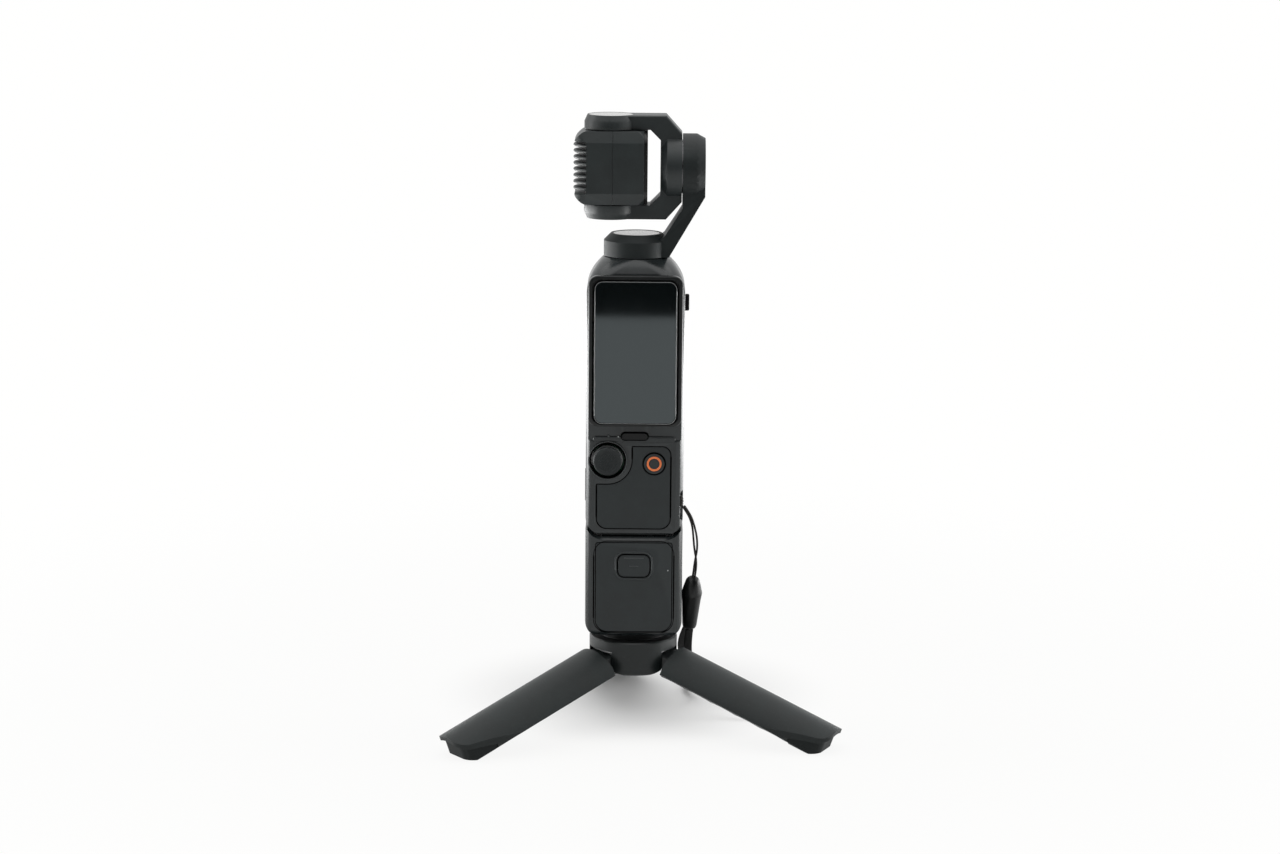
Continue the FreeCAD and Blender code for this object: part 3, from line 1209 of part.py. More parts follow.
def tube(route, diameter, name):
    """Round tube along straight runs joined by tangent arcs; prints its least radius."""
    points = [Vector(*point) for point in route]
    edges = []
    least = None
    start = points[0]
    for before, here, after in zip(points, points[1:], points[2:]):
        back = before - here
        ahead = after - here
        shorter = min(back.Length, ahead.Length)
        back.normalize()
        ahead.normalize()
        turn = math.pi - back.getAngle(ahead)
        reach = 0.45 * shorter
        radius = reach / math.tan(turn / 2)
        least = radius if least is None else min(least, radius)
        first, last = here + back * reach, here + ahead * reach
        inward = back + ahead
        inward.normalize()
        centre = here + inward * (radius / math.cos(turn / 2))
        middle = centre - inward * radius
        edges.append(Part.LineSegment(start, first).toShape())
        edges.append(Part.Arc(first, middle, last).toShape())
        start = last
    edges.append(Part.LineSegment(start, points[-1]).toShape())
    path = Part.Wire(edges)
    profile = Part.Wire(Part.makeCircle(diameter / 2, points[0], points[1] - points[0]))
    solid = path.makePipeShell([profile], True, False)
    expected = math.pi * diameter ** 2 / 4 * path.Length
    share = solid.Volume / expected
    print(name, "length %.1f least radius %.1f volume share %.4f" % (path.Length, least, share))
    return solid


def sleeve_groove_end():
    axis = SLEEVE_END - SLEEVE_TOP
    axis.normalize()
    return SLEEVE_TOP + axis * SLEEVE_GROOVE


def make_strap_cord(side):
    shift = Vector(side * CORD_SPREAD, 0, 0)
    route = [Vector(*point) + shift for point in CORD_ROUTE] + [sleeve_groove_end() + shift]
    return tube([(p.x, p.y, p.z) for p in route], CORD_D, "strap_cord")


def make_sleeve():
    axis = SLEEVE_END - SLEEVE_TOP
    length = axis.Length
    axis.normalize()
    widest = length * 0.3
    upper = Part.makeCone(SLEEVE_TOP_R, SLEEVE_R, widest, SLEEVE_TOP, axis)
    lower = Part.makeCone(SLEEVE_R, SLEEVE_END_R, length - widest, SLEEVE_TOP + axis * widest, axis)
    slope = SLEEVE_DOME + SLEEVE_R - SLEEVE_TOP_R
    dome = Part.makeCone(SLEEVE_TOP_R - SLEEVE_DOME, SLEEVE_R, slope, SLEEVE_TOP, axis)
    rest = Part.makeCylinder(SLEEVE_R, length, SLEEVE_TOP + axis * slope, axis)
    sleeve = join(upper, lower).common(join(dome, rest))
    reach = CORD_SPREAD + CORD_D / 2 + 0.15
    groove_end = sleeve_groove_end()
    groove = box(groove_end.x - reach - 0.2, groove_end.x + reach + 0.9, -12, groove_end.y + 1.2,
                 groove_end.z - 0.3, SLEEVE_TOP.z + 3)
    return sleeve.cut(groove)


def make_webbing():
    return tube(WEBBING_ROUTE, WEBBING_D, "strap_webbing")


# Every sub-part under its own name

PARTS = {
    "stand_hub": make_hub,
    "stand_screw": make_stand_screw,
    "stand_pad": make_pad,
    "hinge_pins": make_hinge_pins,
    "handle_shell": make_handle_shell,
    "handle_front_plate": make_handle_plate,
    "thread_insert": make_thread_insert,
    "usb_plug": make_usb_plug,
    "control_panel": make_control_panel,
    "status_window": make_status_window,
    "chassis_frame": make_chassis,
    "battery_cell": make_battery,
    "main_board": make_board,
    "usb_socket": make_usb_socket,
    "dome_switches": make_switches,
    "card_socket": make_card_socket,
    "lanyard_pin": make_lanyard_pin,
    "pan_stator": make_pan_stator,
    "strap_sleeve": make_sleeve,
    "strap_webbing": make_webbing,
    "release_button": make_release_button,
    "stick_carrier": make_stick_carrier,
    "stick_rocker": make_stick_rocker,
    "stick_cap": make_stick_cap,
    "record_button": make_record_button,
    "record_ring": make_record_ring,
    "side_key": make_side_key,
    "memory_card": make_memory_card,
    "screen_tray": make_screen_tray,
    "screen_pivot": make_screen_pivot,
    "screen_glass": make_screen_glass,
    "display_panel": make_display,
    "pan_arm": make_pan_arm,
    "pan_cap": make_pan_cap,
    "pan_rotor": make_pan_rotor,
    "roll_stator": make_roll_stator,
    "yoke": make_yoke,
    "yoke_caps": make_yoke_caps,
    "tilt_stator": make_tilt_stator,
    "roll_rotor": make_roll_rotor,
    "head_front": make_head_front,
    "head_rear": make_head_rear,
    "lens_barrel": make_lens_barrel,
    "lens_glass": make_lens_glass,
    "sensor_board": make_sensor_board,
}

for part_name, make in PARTS.items():
    save(part_name, make())

for leg in range(LEG_COUNT):
    for part_name, solid in make_leg(leg).items():
        save(part_name + "_" + str(leg + 1), solid)

for strand, side in (("left", -1), ("right", 1)):
    save("strap_cord_" + strand, make_strap_cord(side))
    save("latch_" + strand, make_latch(side))

CASE = camera_case()
save("body_front_shell", CASE.common(box(-50, 50, -50, SPLIT_Y, 0, 250)))
save("body_rear_shell", CASE.common(box(-50, 50, SPLIT_Y, 50, 0, 250)))
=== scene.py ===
# %% [markdown]
# # A pocket gimbal camera on a small tripod
#
# The camera stands upright on a handle, the handle on three folding legs, and a wrist strap
# hangs from its right side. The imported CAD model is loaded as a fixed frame. Each cell below
# either dresses one of its pieces or makes a finer one in its place, and nothing that moves
# is moved here.

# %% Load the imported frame
import json
import math

import bmesh
import bpy
from mathutils import Matrix, Vector

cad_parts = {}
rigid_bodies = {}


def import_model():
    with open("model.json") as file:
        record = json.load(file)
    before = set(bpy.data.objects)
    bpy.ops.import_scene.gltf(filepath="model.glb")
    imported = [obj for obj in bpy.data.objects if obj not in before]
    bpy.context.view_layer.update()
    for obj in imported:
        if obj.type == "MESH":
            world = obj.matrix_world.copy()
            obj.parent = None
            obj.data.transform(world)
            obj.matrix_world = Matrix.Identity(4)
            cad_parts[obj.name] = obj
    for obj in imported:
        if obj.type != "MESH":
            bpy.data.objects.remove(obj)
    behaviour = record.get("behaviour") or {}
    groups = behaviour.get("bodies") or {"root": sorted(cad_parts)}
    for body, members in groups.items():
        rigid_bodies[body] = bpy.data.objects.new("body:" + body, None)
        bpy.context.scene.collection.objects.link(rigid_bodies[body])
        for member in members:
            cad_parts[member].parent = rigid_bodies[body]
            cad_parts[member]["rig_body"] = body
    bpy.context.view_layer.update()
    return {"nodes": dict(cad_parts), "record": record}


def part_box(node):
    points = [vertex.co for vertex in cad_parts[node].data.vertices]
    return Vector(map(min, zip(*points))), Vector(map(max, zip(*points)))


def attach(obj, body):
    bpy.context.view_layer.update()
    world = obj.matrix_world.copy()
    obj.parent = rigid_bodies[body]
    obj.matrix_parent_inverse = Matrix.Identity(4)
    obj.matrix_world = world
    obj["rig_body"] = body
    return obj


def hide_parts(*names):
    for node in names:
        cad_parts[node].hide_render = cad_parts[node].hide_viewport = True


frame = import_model()
MM = 0.001


def mm(x, y, z):
    """A point given in millimetres, in metres."""
    return Vector((x, y, z)) * MM


# %% [markdown]
# ## The camera
#
# The photo was taken from about a metre away with a long lens, a little above the object and
# looking down ten and a half degrees. A lens of 90 mm on a 36 mm sensor gives the same
# flattened perspective. The small roll keeps the object's slight lean to the right.

# %% The camera
PITCH = math.radians(90 - 10.5)
LEAN = math.radians(0.49)
EYE_AT = mm(1.7, -1054.1, 298.25)
eye = bpy.data.objects.new("photo_camera", bpy.data.cameras.new("photo_camera"))
bpy.context.collection.objects.link(eye)
eye.data.lens = 90
eye.data.sensor_width = 36
eye.matrix_world = (Matrix.Translation(EYE_AT)
                    @ Matrix.Rotation(PITCH, 4, "X") @ Matrix.Rotation(LEAN, 4, "Z"))
bpy.context.scene.camera = eye
bpy.context.scene.view_settings.view_transform = "Standard"
print("camera at", [round(v, 3) for v in eye.location])

# %% [markdown]
# ## The strap's cords
#
# Cords come first, because the room they take decides where the rest may be. Each is a NURBS
# curve whose control points are the route that the CAD model uses: two thin strands from the
# slot to the sleeve, and a webbing loop that goes out of the sleeve, over the floor behind the
# right leg and back. A NURBS curve bends evenly, as a real cord does.

# %% Routes of the strap
STRAND_D = 0.7
STRAND_SWAY = (0.36, 0.36, 0.34, 0.36, 0.62, 0.50, -0.30, -0.38, -0.36)
STRAND_ROUTE = [(16.35, -12.2, 78.6), (17.6, -11.5, 76.7), (18.9, -10.4, 74.2),
                (19.9, -9.0, 70.8), (20.5, -7.3, 66.8), (20.8, -5.8, 62.4),
                (20.8, -4.6, 58.0), (20.5, -3.7, 54.0), (19.85, -2.08, 49.25)]
WEBBING_W = 2.8
WEBBING_ROUTE = [(19.0, 1.6, 32.8), (18.5, 3.6, 28.0), (18.8, 7.4, 21.8), (22.2, 10.4, 15.6),
                 (27.0, 10.8, 9.8), (32.4, 8.4, 4.8), (38.6, 5.5, 1.9), (45.5, 6.6, 1.5),
                 (50.4, 11.6, 1.5), (51.3, 18.5, 1.5), (47.8, 25.2, 1.5), (43.8, 32.0, 1.5),
                 (40.6, 39.8, 1.5), (38.8, 48.0, 1.5), (33.4, 54.2, 1.5), (25.2, 54.4, 1.5),
                 (19.2, 49.0, 1.5), (18.8, 41.0, 1.6), (21.2, 33.4, 3.4), (20.8, 25.6, 8.2),
                 (18.8, 18.6, 14.4), (16.8, 12.8, 21.4), (16.4, 8.2, 28.2), (18.4, 5.0, 33.8)]


def cord_curve(name, route, radius):
    """A round cord along a route of control points, in millimetres."""
    curve = bpy.data.curves.new(name, "CURVE")
    curve.dimensions = "3D"
    curve.bevel_depth = radius * MM
    curve.bevel_resolution = 4
    curve.resolution_u = 8
    line = curve.splines.new("NURBS")
    line.points.add(len(route) - 1)
    for point, place in zip(line.points, route):
        point.co = (*mm(*place), 1.0)
    line.order_u = 3
    line.use_endpoint_u = True
    made = bpy.data.objects.new(name, curve)
    bpy.context.collection.objects.link(made)
    return made


def cord_points(made):
    """The centreline of a cord curve, in metres, and its length."""
    thin = made.data.copy()
    thin.bevel_depth = 0.0
    ghost = bpy.data.objects.new("ghost", thin)
    line = bpy.data.meshes.new_from_object(ghost)
    points = [v.co.copy() for v in line.vertices]
    bpy.data.objects.remove(ghost)
    bpy.data.meshes.remove(line)
    bpy.data.curves.remove(thin)
    return points, sum((b - a).length for a, b in zip(points, points[1:]))


strands = {}
for side, sign in (("left", -1), ("right", 1)):
    route = [(x + sign * sway, y, z) for (x, y, z), sway in zip(STRAND_ROUTE, STRAND_SWAY)]
    strands[side] = cord_curve("line_" + side, route, 0.0)
    print(side, "strand", round(cord_points(strands[side])[1] / MM, 1), "mm")

# %% [markdown]
# ## Node maths
#
# Materials and Geometry Nodes are small programs. A wrapper round a socket lets them be written
# as sums, and one method makes any other node: its type, its settings, then what goes into its
# sockets. Both kinds of tree share it.

# %% A socket that can be added and multiplied


class Wire:
    """A socket in a tree, with arithmetic on it."""

    def __init__(self, sheet, socket):
        self.sheet = sheet
        self.socket = socket

    def sum(self, how, *others):
        """The result of a Math node's operation on this socket and others."""
        inputs = dict(enumerate((self, *others)))
        return self.sheet.node("ShaderNodeMath", {"operation": how}, inputs)

    def __add__(self, other):
        return self.sum("ADD", other)

    __radd__ = __add__

    def __mul__(self, other):
        return self.sum("MULTIPLY", other)

    __rmul__ = __mul__

    def __sub__(self, other):
        return self.sum("SUBTRACT", other)

    def __rsub__(self, other):
        return (self * -1.0) + other

    def __truediv__(self, other):
        return self.sum("DIVIDE", other)

    def step(self, low, high):
        """0 below low, 1 above high, smooth between."""
        inputs = {0: self, 1: low, 2: high, 3: 0.0, 4: 1.0}
        return self.sheet.node("ShaderNodeMapRange", {"interpolation_type": "SMOOTHSTEP"}, inputs)


class Sheet:
    """A node tree being written."""

    def __init__(self, tree):
        self.tree = tree
        self.tree.nodes.clear()

    def node(self, kind, settings=None, inputs=None, out=0):
        """Adds a node, sets it up, joins its inputs, and gives one of its outputs."""
        made = self.tree.nodes.new(kind)
        for key, value in (settings or {}).items():
            setattr(made, key, value)
        for key, value in (inputs or {}).items():
            if isinstance(value, Wire):
                self.tree.links.new(value.socket, made.inputs[key])
            else:
                made.inputs[key].default_value = value
        return Wire(self, made.outputs[out]) if made.outputs else None

    def vector(self, x, y, z):
        return self.node("ShaderNodeCombineXYZ", None, {0: x, 1: y, 2: z})

    def split(self, vector):
        return [self.node("ShaderNodeSeparateXYZ", None, {0: vector}, out) for out in range(3)]


class Paint(Sheet):
    """One material being made."""

    def __init__(self, name):
        self.material = bpy.data.materials.new(name)
        self.material.use_nodes = True
        super().__init__(self.material.node_tree)

    def place(self):
        return self.node("ShaderNodeTexCoord", out="Object")

    def noise(self, size, detail=2.0):
        """Noise from 0 to 1 with lumps of about that size in millimetres."""
        inputs = {"Vector": self.place(), "Scale": 1.0 / (size * MM), "Detail": detail}
        return self.node("ShaderNodeTexNoise", None, inputs)

    def blend(self, mask, first, second):
        """The first colour where mask is 0 and the second where it is 1."""
        settings = {"data_type": "RGBA", "clamp_factor": True}
        return self.node("ShaderNodeMix", settings, {0: mask, 6: first, 7: second}, out=2)

    def bump(self, height, depth):
        """A normal from a height between 0 and 1, that deep in millimetres."""
        inputs = {"Height": height, "Distance": depth * MM, "Strength": 1.0}
        return self.node("ShaderNodeBump", None, inputs)

    def shade(self, **inputs):
        """Ends the material in a Principled shader; underscores in names are spaces."""
        given = {key.replace("_", " "): value for key, value in inputs.items()}
        surface = self.node("ShaderNodeBsdfPrincipled", None, given)
        self.node("ShaderNodeOutputMaterial", None, {"Surface": surface})
        return self.material


print("node tools ready")

# %% [markdown]
# ## Plastics and rubber
#
# Almost every outside piece is moulded, spark-textured black plastic. Up close it is not flat
# black: its surface is a fine field of grains a fifth of a millimetre across, handling leaves
# slow changes of gloss, and its corners are a little lighter, partly from wear and partly as a
# painted highlight. One recipe makes them all, with a colour, a gloss and a grain for each. The
# black paint on the gimbal's cast arm and yoke looks the same, so it uses that recipe too.

# %% Moulded plastic


def moulded(name, colour, roughness, grain=0.22, depth=0.012, smear=0.05, specular=0.5):
    """Spark-textured plastic. The grain and its depth are in millimetres."""
    paint = Paint(name)
    fine = paint.noise(grain, 3.0)
    slow = paint.noise(9.0, 3.0)
    speck = paint.noise(grain * 2.4, 1.0).step(0.62, 0.74)
    edge = paint.node("ShaderNodeNewGeometry", out="Pointiness").step(0.52, 0.62)
    dark = [c * 0.86 for c in colour] + [1.0]
    light = [c * 1.16 for c in colour] + [1.0]
    worn_and_lit = [c * 1.55 + 0.004 for c in colour] + [1.0]
    base = paint.blend(slow.step(0.35, 0.65), dark, light)
    base = paint.blend(speck * 0.35, base, worn_and_lit)
    # Corners found by pointiness are made lighter: partly wear, partly a painted highlight.
    base = paint.blend(edge * 0.5, base, worn_and_lit)
    gloss = (slow - 0.5) * (smear * 2) + (fine - 0.5) * 0.12 + roughness - edge * 0.06
    return paint.shade(Base_Color=base, Roughness=gloss, IOR=1.5,
                       Specular_IOR_Level=specular, Normal=paint.bump(fine, depth))


# Colour, roughness, grain and its depth in mm, change of gloss, specular level.
PLASTICS = {
    "case_plastic": ((0.0150, 0.0200, 0.0210), 0.25, 0.22, 0.008, 0.03),
    "panel_plastic": ((0.0135, 0.0185, 0.0195), 0.50, 0.3, 0.014),
    "button_plastic": ((0.0175, 0.0225, 0.0230), 0.38, 0.15, 0.006),
    "window_plastic": ((0.0015, 0.002, 0.002), 0.2, 0.1, 0.001, 0.02, 0.25),
    "stand_plastic": ((0.0095, 0.0130, 0.0130), 0.42, 0.22, 0.012, 0.05, 0.4),
    "leg_plastic": ((0.0105, 0.0145, 0.0145), 0.50, 0.3, 0.014, 0.05, 0.30),
    "head_plastic": ((0.0165, 0.0225, 0.0230), 0.46, 0.18, 0.008),
    "screen_frame": ((0.0075, 0.0095, 0.0095), 0.28, 0.15, 0.003, 0.04, 0.4),
    "card_plastic": ((0.004, 0.004, 0.005), 0.5, 0.15, 0.006, 0.03, 0.1),
    # The pale finish below paints highlights on rims, on the release's dash and in small glints.
    "rim_plastic": ((0.080, 0.091, 0.092), 0.38, 0.15, 0.004, 0.03),
    "foot_rubber": ((0.0082, 0.0112, 0.0112), 0.62, 0.3, 0.014, 0.05, 0.25),
    "arm_paint": ((0.0110, 0.0150, 0.0152), 0.52, 0.18, 0.008, 0.05, 0.30),
    "soft_rubber": ((0.005, 0.006, 0.006), 0.72, 0.16, 0.020, 0.03, 0.2),
    "stick_rubber": ((0.0145, 0.0180, 0.0185), 0.62, 0.16, 0.02, 0.03, 0.4),
    "sleeve_rubber": ((0.0045, 0.0055, 0.0055), 0.42, 0.3, 0.006, 0.06, 0.4),
    "battery_wrap": ((0.09, 0.10, 0.11), 0.35, 0.4, 0.004),
    "board_green": ((0.01, 0.09, 0.04), 0.40, 0.5, 0.01),
    "ring_orange": ((0.98, 0.235, 0.070), 0.38, 0.15, 0.004, 0.03),
    # The near-black finish below paints the shade in gaps.
    "gap_black": ((0.0012, 0.0013, 0.0013), 0.9, 0.3, 0.002, 0.02, 0.0),
    # The grey finish below paints the highlight along the cover glass's edge.
    "glass_rim": ((0.31, 0.32, 0.32), 0.25, 0.3, 0.002, 0.02, 0.8),
    "led_dot": ((0.45, 0.47, 0.47), 0.3, 0.1, 0.001),
    "gimbal_alloy": ((0.0175, 0.0230, 0.0235), 0.44, 0.25, 0.008),
}
finish = {name: moulded(name, *look) for name, look in PLASTICS.items()}
print(len(finish), "plastics")

# %% [markdown]
# ## Metals and glass
#
# The gimbal's caps are smooth discs that catch the backdrop at a low angle, and the screws and
# contacts are bare. Metals get fine turning marks or scratches in their roughness. The screen's
# glass has layers under it that reflect too, so it mirrors more than plain glass does.

# %% Metals and glass


def metal(name, colour, roughness, grain=0.15, metallic=1.0, ior=1.5):
    """Bare or coated metal with a fine cast or brushed surface."""
    paint = Paint(name)
    fine = paint.noise(grain, 4.0)
    slow = paint.noise(6.0, 3.0)
    dull = [c * 0.85 for c in colour] + [1.0]
    base = paint.blend(slow.step(0.3, 0.7), dull, [*colour, 1.0])
    gloss = (fine - 0.5) * 0.16 + (slow - 0.5) * 0.08 + roughness
    return paint.shade(Base_Color=base, Roughness=gloss, Metallic=metallic, IOR=ior,
                       Normal=paint.bump(fine, 0.005))


def mirror_glass(name, colour, roughness, ior):
    """Dark glass that mirrors, with faint finger marks."""
    paint = Paint(name)
    marks = paint.noise(14.0, 4.0).step(0.5, 0.75)
    dust = paint.noise(0.5, 2.0).step(0.70, 0.78)
    base = paint.blend(dust * 0.5, [*colour, 1.0], [0.05, 0.05, 0.05, 1.0])
    gloss = marks * 0.008 + dust * 0.10 + roughness
    return paint.shade(Base_Color=base, Roughness=gloss, IOR=ior,
                       Specular_Tint=(0.86, 0.97, 1.0, 1.0))


# Colour, roughness, grain in mm, metallic, index of refraction.
METALS = {
    "frame_alloy": ((0.45, 0.45, 0.45), 0.40),
    "motor_alloy": ((0.30, 0.30, 0.31), 0.35),
    "cap_disc": ((0.55, 0.55, 0.535), 0.26, 0.1, 0.5, 1.8),
    "lens_ring": ((0.03, 0.03, 0.03), 0.30, 0.1, 0.5),
    "screw_steel": ((0.55, 0.55, 0.56), 0.30),
    "plug_steel": ((0.60, 0.59, 0.57), 0.28),
    "brass_insert": ((0.72, 0.52, 0.25), 0.32),
}
# Colour, roughness, index of refraction.
GLASSES = {
    "screen_glass": ((0.002, 0.004, 0.0045), 0.035, 1.76),
    "lens_glass": ((0.006, 0.006, 0.012), 0.03, 1.8),
    "display_black": ((0.004, 0.004, 0.005), 0.2, 1.5),
}
finish.update({name: metal(name, *look) for name, look in METALS.items()})
finish.update({name: mirror_glass(name, *look) for name, look in GLASSES.items()})
print(len(finish), "finishes")

# %% [markdown]
# ## Braid and webbing
#
# The strap is woven. Its meshes carry an attribute, "weave": how far along the cord a point is,
# and where it is round or across it. Two sine waves that run opposite ways round the cord give
# the crossing yarns of a braid, and close ribs across a band give webbing.

# %% Woven finishes
# Radians of the ribs' wave from the middle of a band to its edge.
RIB_WAVE = 22.0


def woven(name, colour, pitch, depth, flat):
    """Braided cord, or flat webbing with ribs, with yarns a pitch in millimetres apart."""
    paint = Paint(name)
    weave = paint.node("ShaderNodeAttribute", {"attribute_name": "weave"}, out="Vector")
    along, across, up = paint.split(weave)
    wave = (along * (math.pi / (pitch * MM))).sum("SINE")
    if flat:
        column = (across * RIB_WAVE).sum("SINE")
        yarn = (wave * column + 1.0) * 0.5
    else:
        yarn = wave * wave - (across * up * 2.0) * (across * up * 2.0)
        yarn = yarn.sum("ABSOLUTE")
    fuzz = paint.noise(0.12, 3.0)
    height = yarn * 0.75 + fuzz * 0.25
    dark = [c * 0.45 for c in colour] + [1.0]
    faded = [c * 1.6 for c in colour] + [1.0]
    # The hollows between the yarns are darkened: painted shade.
    base = paint.blend(height.step(0.1, 0.7), dark, [*colour, 1.0])
    base = paint.blend(paint.noise(4.0, 2.0).step(0.4, 0.7) * 0.3, base, faded)
    return paint.shade(Base_Color=base, Roughness=height * 0.15 + 0.62, IOR=1.45,
                       Normal=paint.bump(height, depth))


finish.update({
    "strap_cord": woven("strap_cord", (0.020, 0.018, 0.015), 0.55, 0.05, False),
    "strap_fabric": woven("strap_fabric", (0.016, 0.0165, 0.016), 0.45, 0.06, True),
})
print("woven:", [name for name in finish if name.startswith("strap")])

# %% [markdown]
# ## Each piece gets its finish
#
# The record names a slot for each CAD node, such as case_plastic, and a slot is the name of a
# finish. One loop puts them on, so that no piece is left bare, and the finer pieces made below
# take the same finishes by the same names.

# %% Dress the CAD nodes by the record's slots
slot_of = {part["node"]: part["material_slot"] for part in frame["record"]["subparts"]}


def dress(node):
    """Puts its slot's finish on a CAD node."""
    mesh = frame["nodes"][node].data
    material = finish.get(slot_of.get(node), finish["case_plastic"])
    if not mesh.materials:
        mesh.materials.append(material)
    for index in range(len(mesh.materials)):
        mesh.materials[index] = material


for node in frame["nodes"]:
    dress(node)
print(len(slot_of), "nodes dressed;", "without a slot:", sorted(set(frame["nodes"]) - set(slot_of)))

# %% [markdown]
# ## Softer edges
#
# A CAD edge is perfectly sharp, and a moulded one never is: its small radius is what catches
# the thin line of light along every rim in the photo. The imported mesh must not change, so a
# copy is merged, its flat areas are joined into single faces, and a Bevel modifier rounds
# the edges that turn more than a set angle. The copy then stands for the CAD node.

# %% A rounded copy of a CAD node
MERGE = 0.002 * MM


def shade_edges(work, angle):
    """Smooth faces, with the edges that turn more than an angle in degrees kept sharp."""
    for face in work.faces:
        face.smooth = True
    for edge in work.edges:
        edge.smooth = len(edge.link_faces) == 2 and edge.calc_face_angle(0.0) < math.radians(angle)


def clean_copy(node):
    """The node's triangles merged, with flat areas joined."""
    mesh = frame["nodes"][node].data.copy()
    mesh.name = node + "_look"
    work = bmesh.new()
    work.from_mesh(mesh)
    bmesh.ops.remove_doubles(work, verts=work.verts, dist=MERGE)
    bmesh.ops.dissolve_degenerate(work, edges=work.edges, dist=MERGE)
    flat = math.radians(0.4)
    bmesh.ops.dissolve_limit(work, angle_limit=flat, verts=work.verts, edges=work.edges)
    shade_edges(work, 28)
    work.to_mesh(mesh)
    work.free()
    return mesh


def put(name, mesh, body, slot, *stands_for):
    """Adds a piece to the scene on a body, with its finish and the nodes it stands for."""
    made = bpy.data.objects.new(name, mesh)
    bpy.context.collection.objects.link(made)
    if not mesh.materials:
        mesh.materials.append(finish[slot])
    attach(made, body)
    if stands_for:
        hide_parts(*stands_for)
    return made


def round_edges(made, width, angle=30.0, steps=2):
    """Rounds a piece's sharp edges by a width in millimetres."""
    bevel = made.modifiers.new("edges", "BEVEL")
    bevel.width = width * MM
    bevel.segments = steps
    bevel.limit_method = "ANGLE"
    bevel.angle_limit = math.radians(angle)
    bevel.use_clamp_overlap = True
    bevel.harden_normals = True
    return made


def soften(node, width):
    """A CAD node's copy with rounded edges, in its place."""
    mesh = clean_copy(node)
    body = frame["nodes"][node]["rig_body"]
    made = put(node + "_look", mesh, body, slot_of[node], node)
    return round_edges(made, width)


EDGE_WIDTHS = {
    "handle_shell": 0.35, "handle_front_plate": 0.20, "release_button": 0.30,
    "body_rear_shell": 0.30, "control_panel": 0.22,
    "stick_rocker": 0.1, "record_button": 0.18, "side_key": 0.7, "memory_card": 0.15,
    "pan_arm": 0.30, "pan_cap": 0.12, "yoke_caps": 0.12, "head_front": 0.25,
    "lens_barrel": 0.2, "stand_hub": 0.35, "stand_pad": 0.4, "stand_screw": 0.25,
}
for index in (1, 2, 3):
    EDGE_WIDTHS["leg_shell_%d" % index] = 0.45
    EDGE_WIDTHS["leg_frame_%d" % index] = 0.25
    EDGE_WIDTHS["foot_pad_%d" % index] = 0.5
for node, width in EDGE_WIDTHS.items():
    made = soften(node, width)
    print(node, len(made.data.polygons), "faces")

# %% [markdown]
# ## Recipes for what repeats
#
# Fins, dimples and woven bands are one small shape many times over, or one outline drawn along a
# line. Geometry Nodes say that as a rule with a few named sizes. Each recipe here is a tree that
# runs once; its result becomes a plain mesh, so that the piece exports as it looks.

# %% The Recipe class


class Recipe(Sheet):
    """A Geometry Nodes tree with named inputs."""

    SOCKETS = {int: "NodeSocketInt", float: "NodeSocketFloat", Vector: "NodeSocketVector"}

    def __init__(self, name, **sizes):
        super().__init__(bpy.data.node_groups.new(name, "GeometryNodeTree"))
        face = self.tree.interface
        face.new_socket("Geometry", in_out="OUTPUT", socket_type="NodeSocketGeometry")
        start = face.new_socket("Start", in_out="INPUT", socket_type="NodeSocketGeometry")
        coat = face.new_socket("Finish", in_out="INPUT", socket_type="NodeSocketMaterial")
        self.ids = {"Start": start.identifier, "Finish": coat.identifier}
        for key, value in sizes.items():
            made = face.new_socket(key, in_out="INPUT", socket_type=self.SOCKETS[type(value)])
            made.default_value = value
            self.ids[key] = made.identifier
        self.inputs = self.tree.nodes.new("NodeGroupInput")

    def given(self, name):
        return Wire(self, self.inputs.outputs[name])

    def serve(self, geometry):
        """Ends the tree: instances made real, and the finish put on."""
        real = self.node("GeometryNodeRealizeInstances", None, {0: geometry})
        coated = self.node("GeometryNodeSetMaterial", None,
                           {"Geometry": real, "Material": self.given("Finish")})
        self.node("NodeGroupOutput", None, {0: coated})
        return self

    def cook(self, name, slot, start=None, **sizes):
        """Runs the recipe and gives a plain mesh."""
        holder = start or bpy.data.objects.new("holder", bpy.data.meshes.new("holder"))
        if not start:
            bpy.context.collection.objects.link(holder)
        modifier = holder.modifiers.new("recipe", "NODES")
        modifier.node_group = self.tree
        modifier[self.ids["Finish"]] = finish[slot]
        for key, value in sizes.items():
            modifier[self.ids[key]] = value
        bpy.context.view_layer.update()
        ready = holder.evaluated_get(bpy.context.evaluated_depsgraph_get())
        mesh = bpy.data.meshes.new_from_object(ready)
        mesh.name = name
        for face in mesh.polygons:
            face.use_smooth = True
        bpy.data.objects.remove(holder)
        return mesh


print("recipes can be written")

# %% [markdown]
# ## Bands along a line
#
# A band is its outline drawn along a line. The recipe keeps, on every point, how far
# along the line it is and where on the outline, for the woven finishes. The same recipe makes
# the round strands and the flat webbing, with other sizes.

# %% A band along a line
band = Recipe("band", Width=1.0, Thickness=1.0, Step=1.0, Sides=12)
step = band.node("GeometryNodeResampleCurve", {"mode": "LENGTH"},
                 {"Curve": band.given("Start"), "Length": band.given("Step")})
level = band.node("GeometryNodeSetCurveNormal", {"mode": "Z_UP"}, {"Curve": step})
run = band.node("GeometryNodeSplineParameter", out="Length")
line = band.node("GeometryNodeStoreNamedAttribute", {"data_type": "FLOAT", "domain": "POINT"},
                 {"Geometry": level, "Name": "run", "Value": run})
ring = band.node("GeometryNodeCurvePrimitiveCircle", None,
                 {"Resolution": band.given("Sides"), "Radius": 1.0})
round_x, round_y, _ = band.split(band.node("GeometryNodeInputPosition"))


def squared(wire):
    """Moves a circle's coordinate towards a rounded square's."""
    return wire.sum("ABSOLUTE").sum("POWER", 0.6) * wire.sum("SIGN")


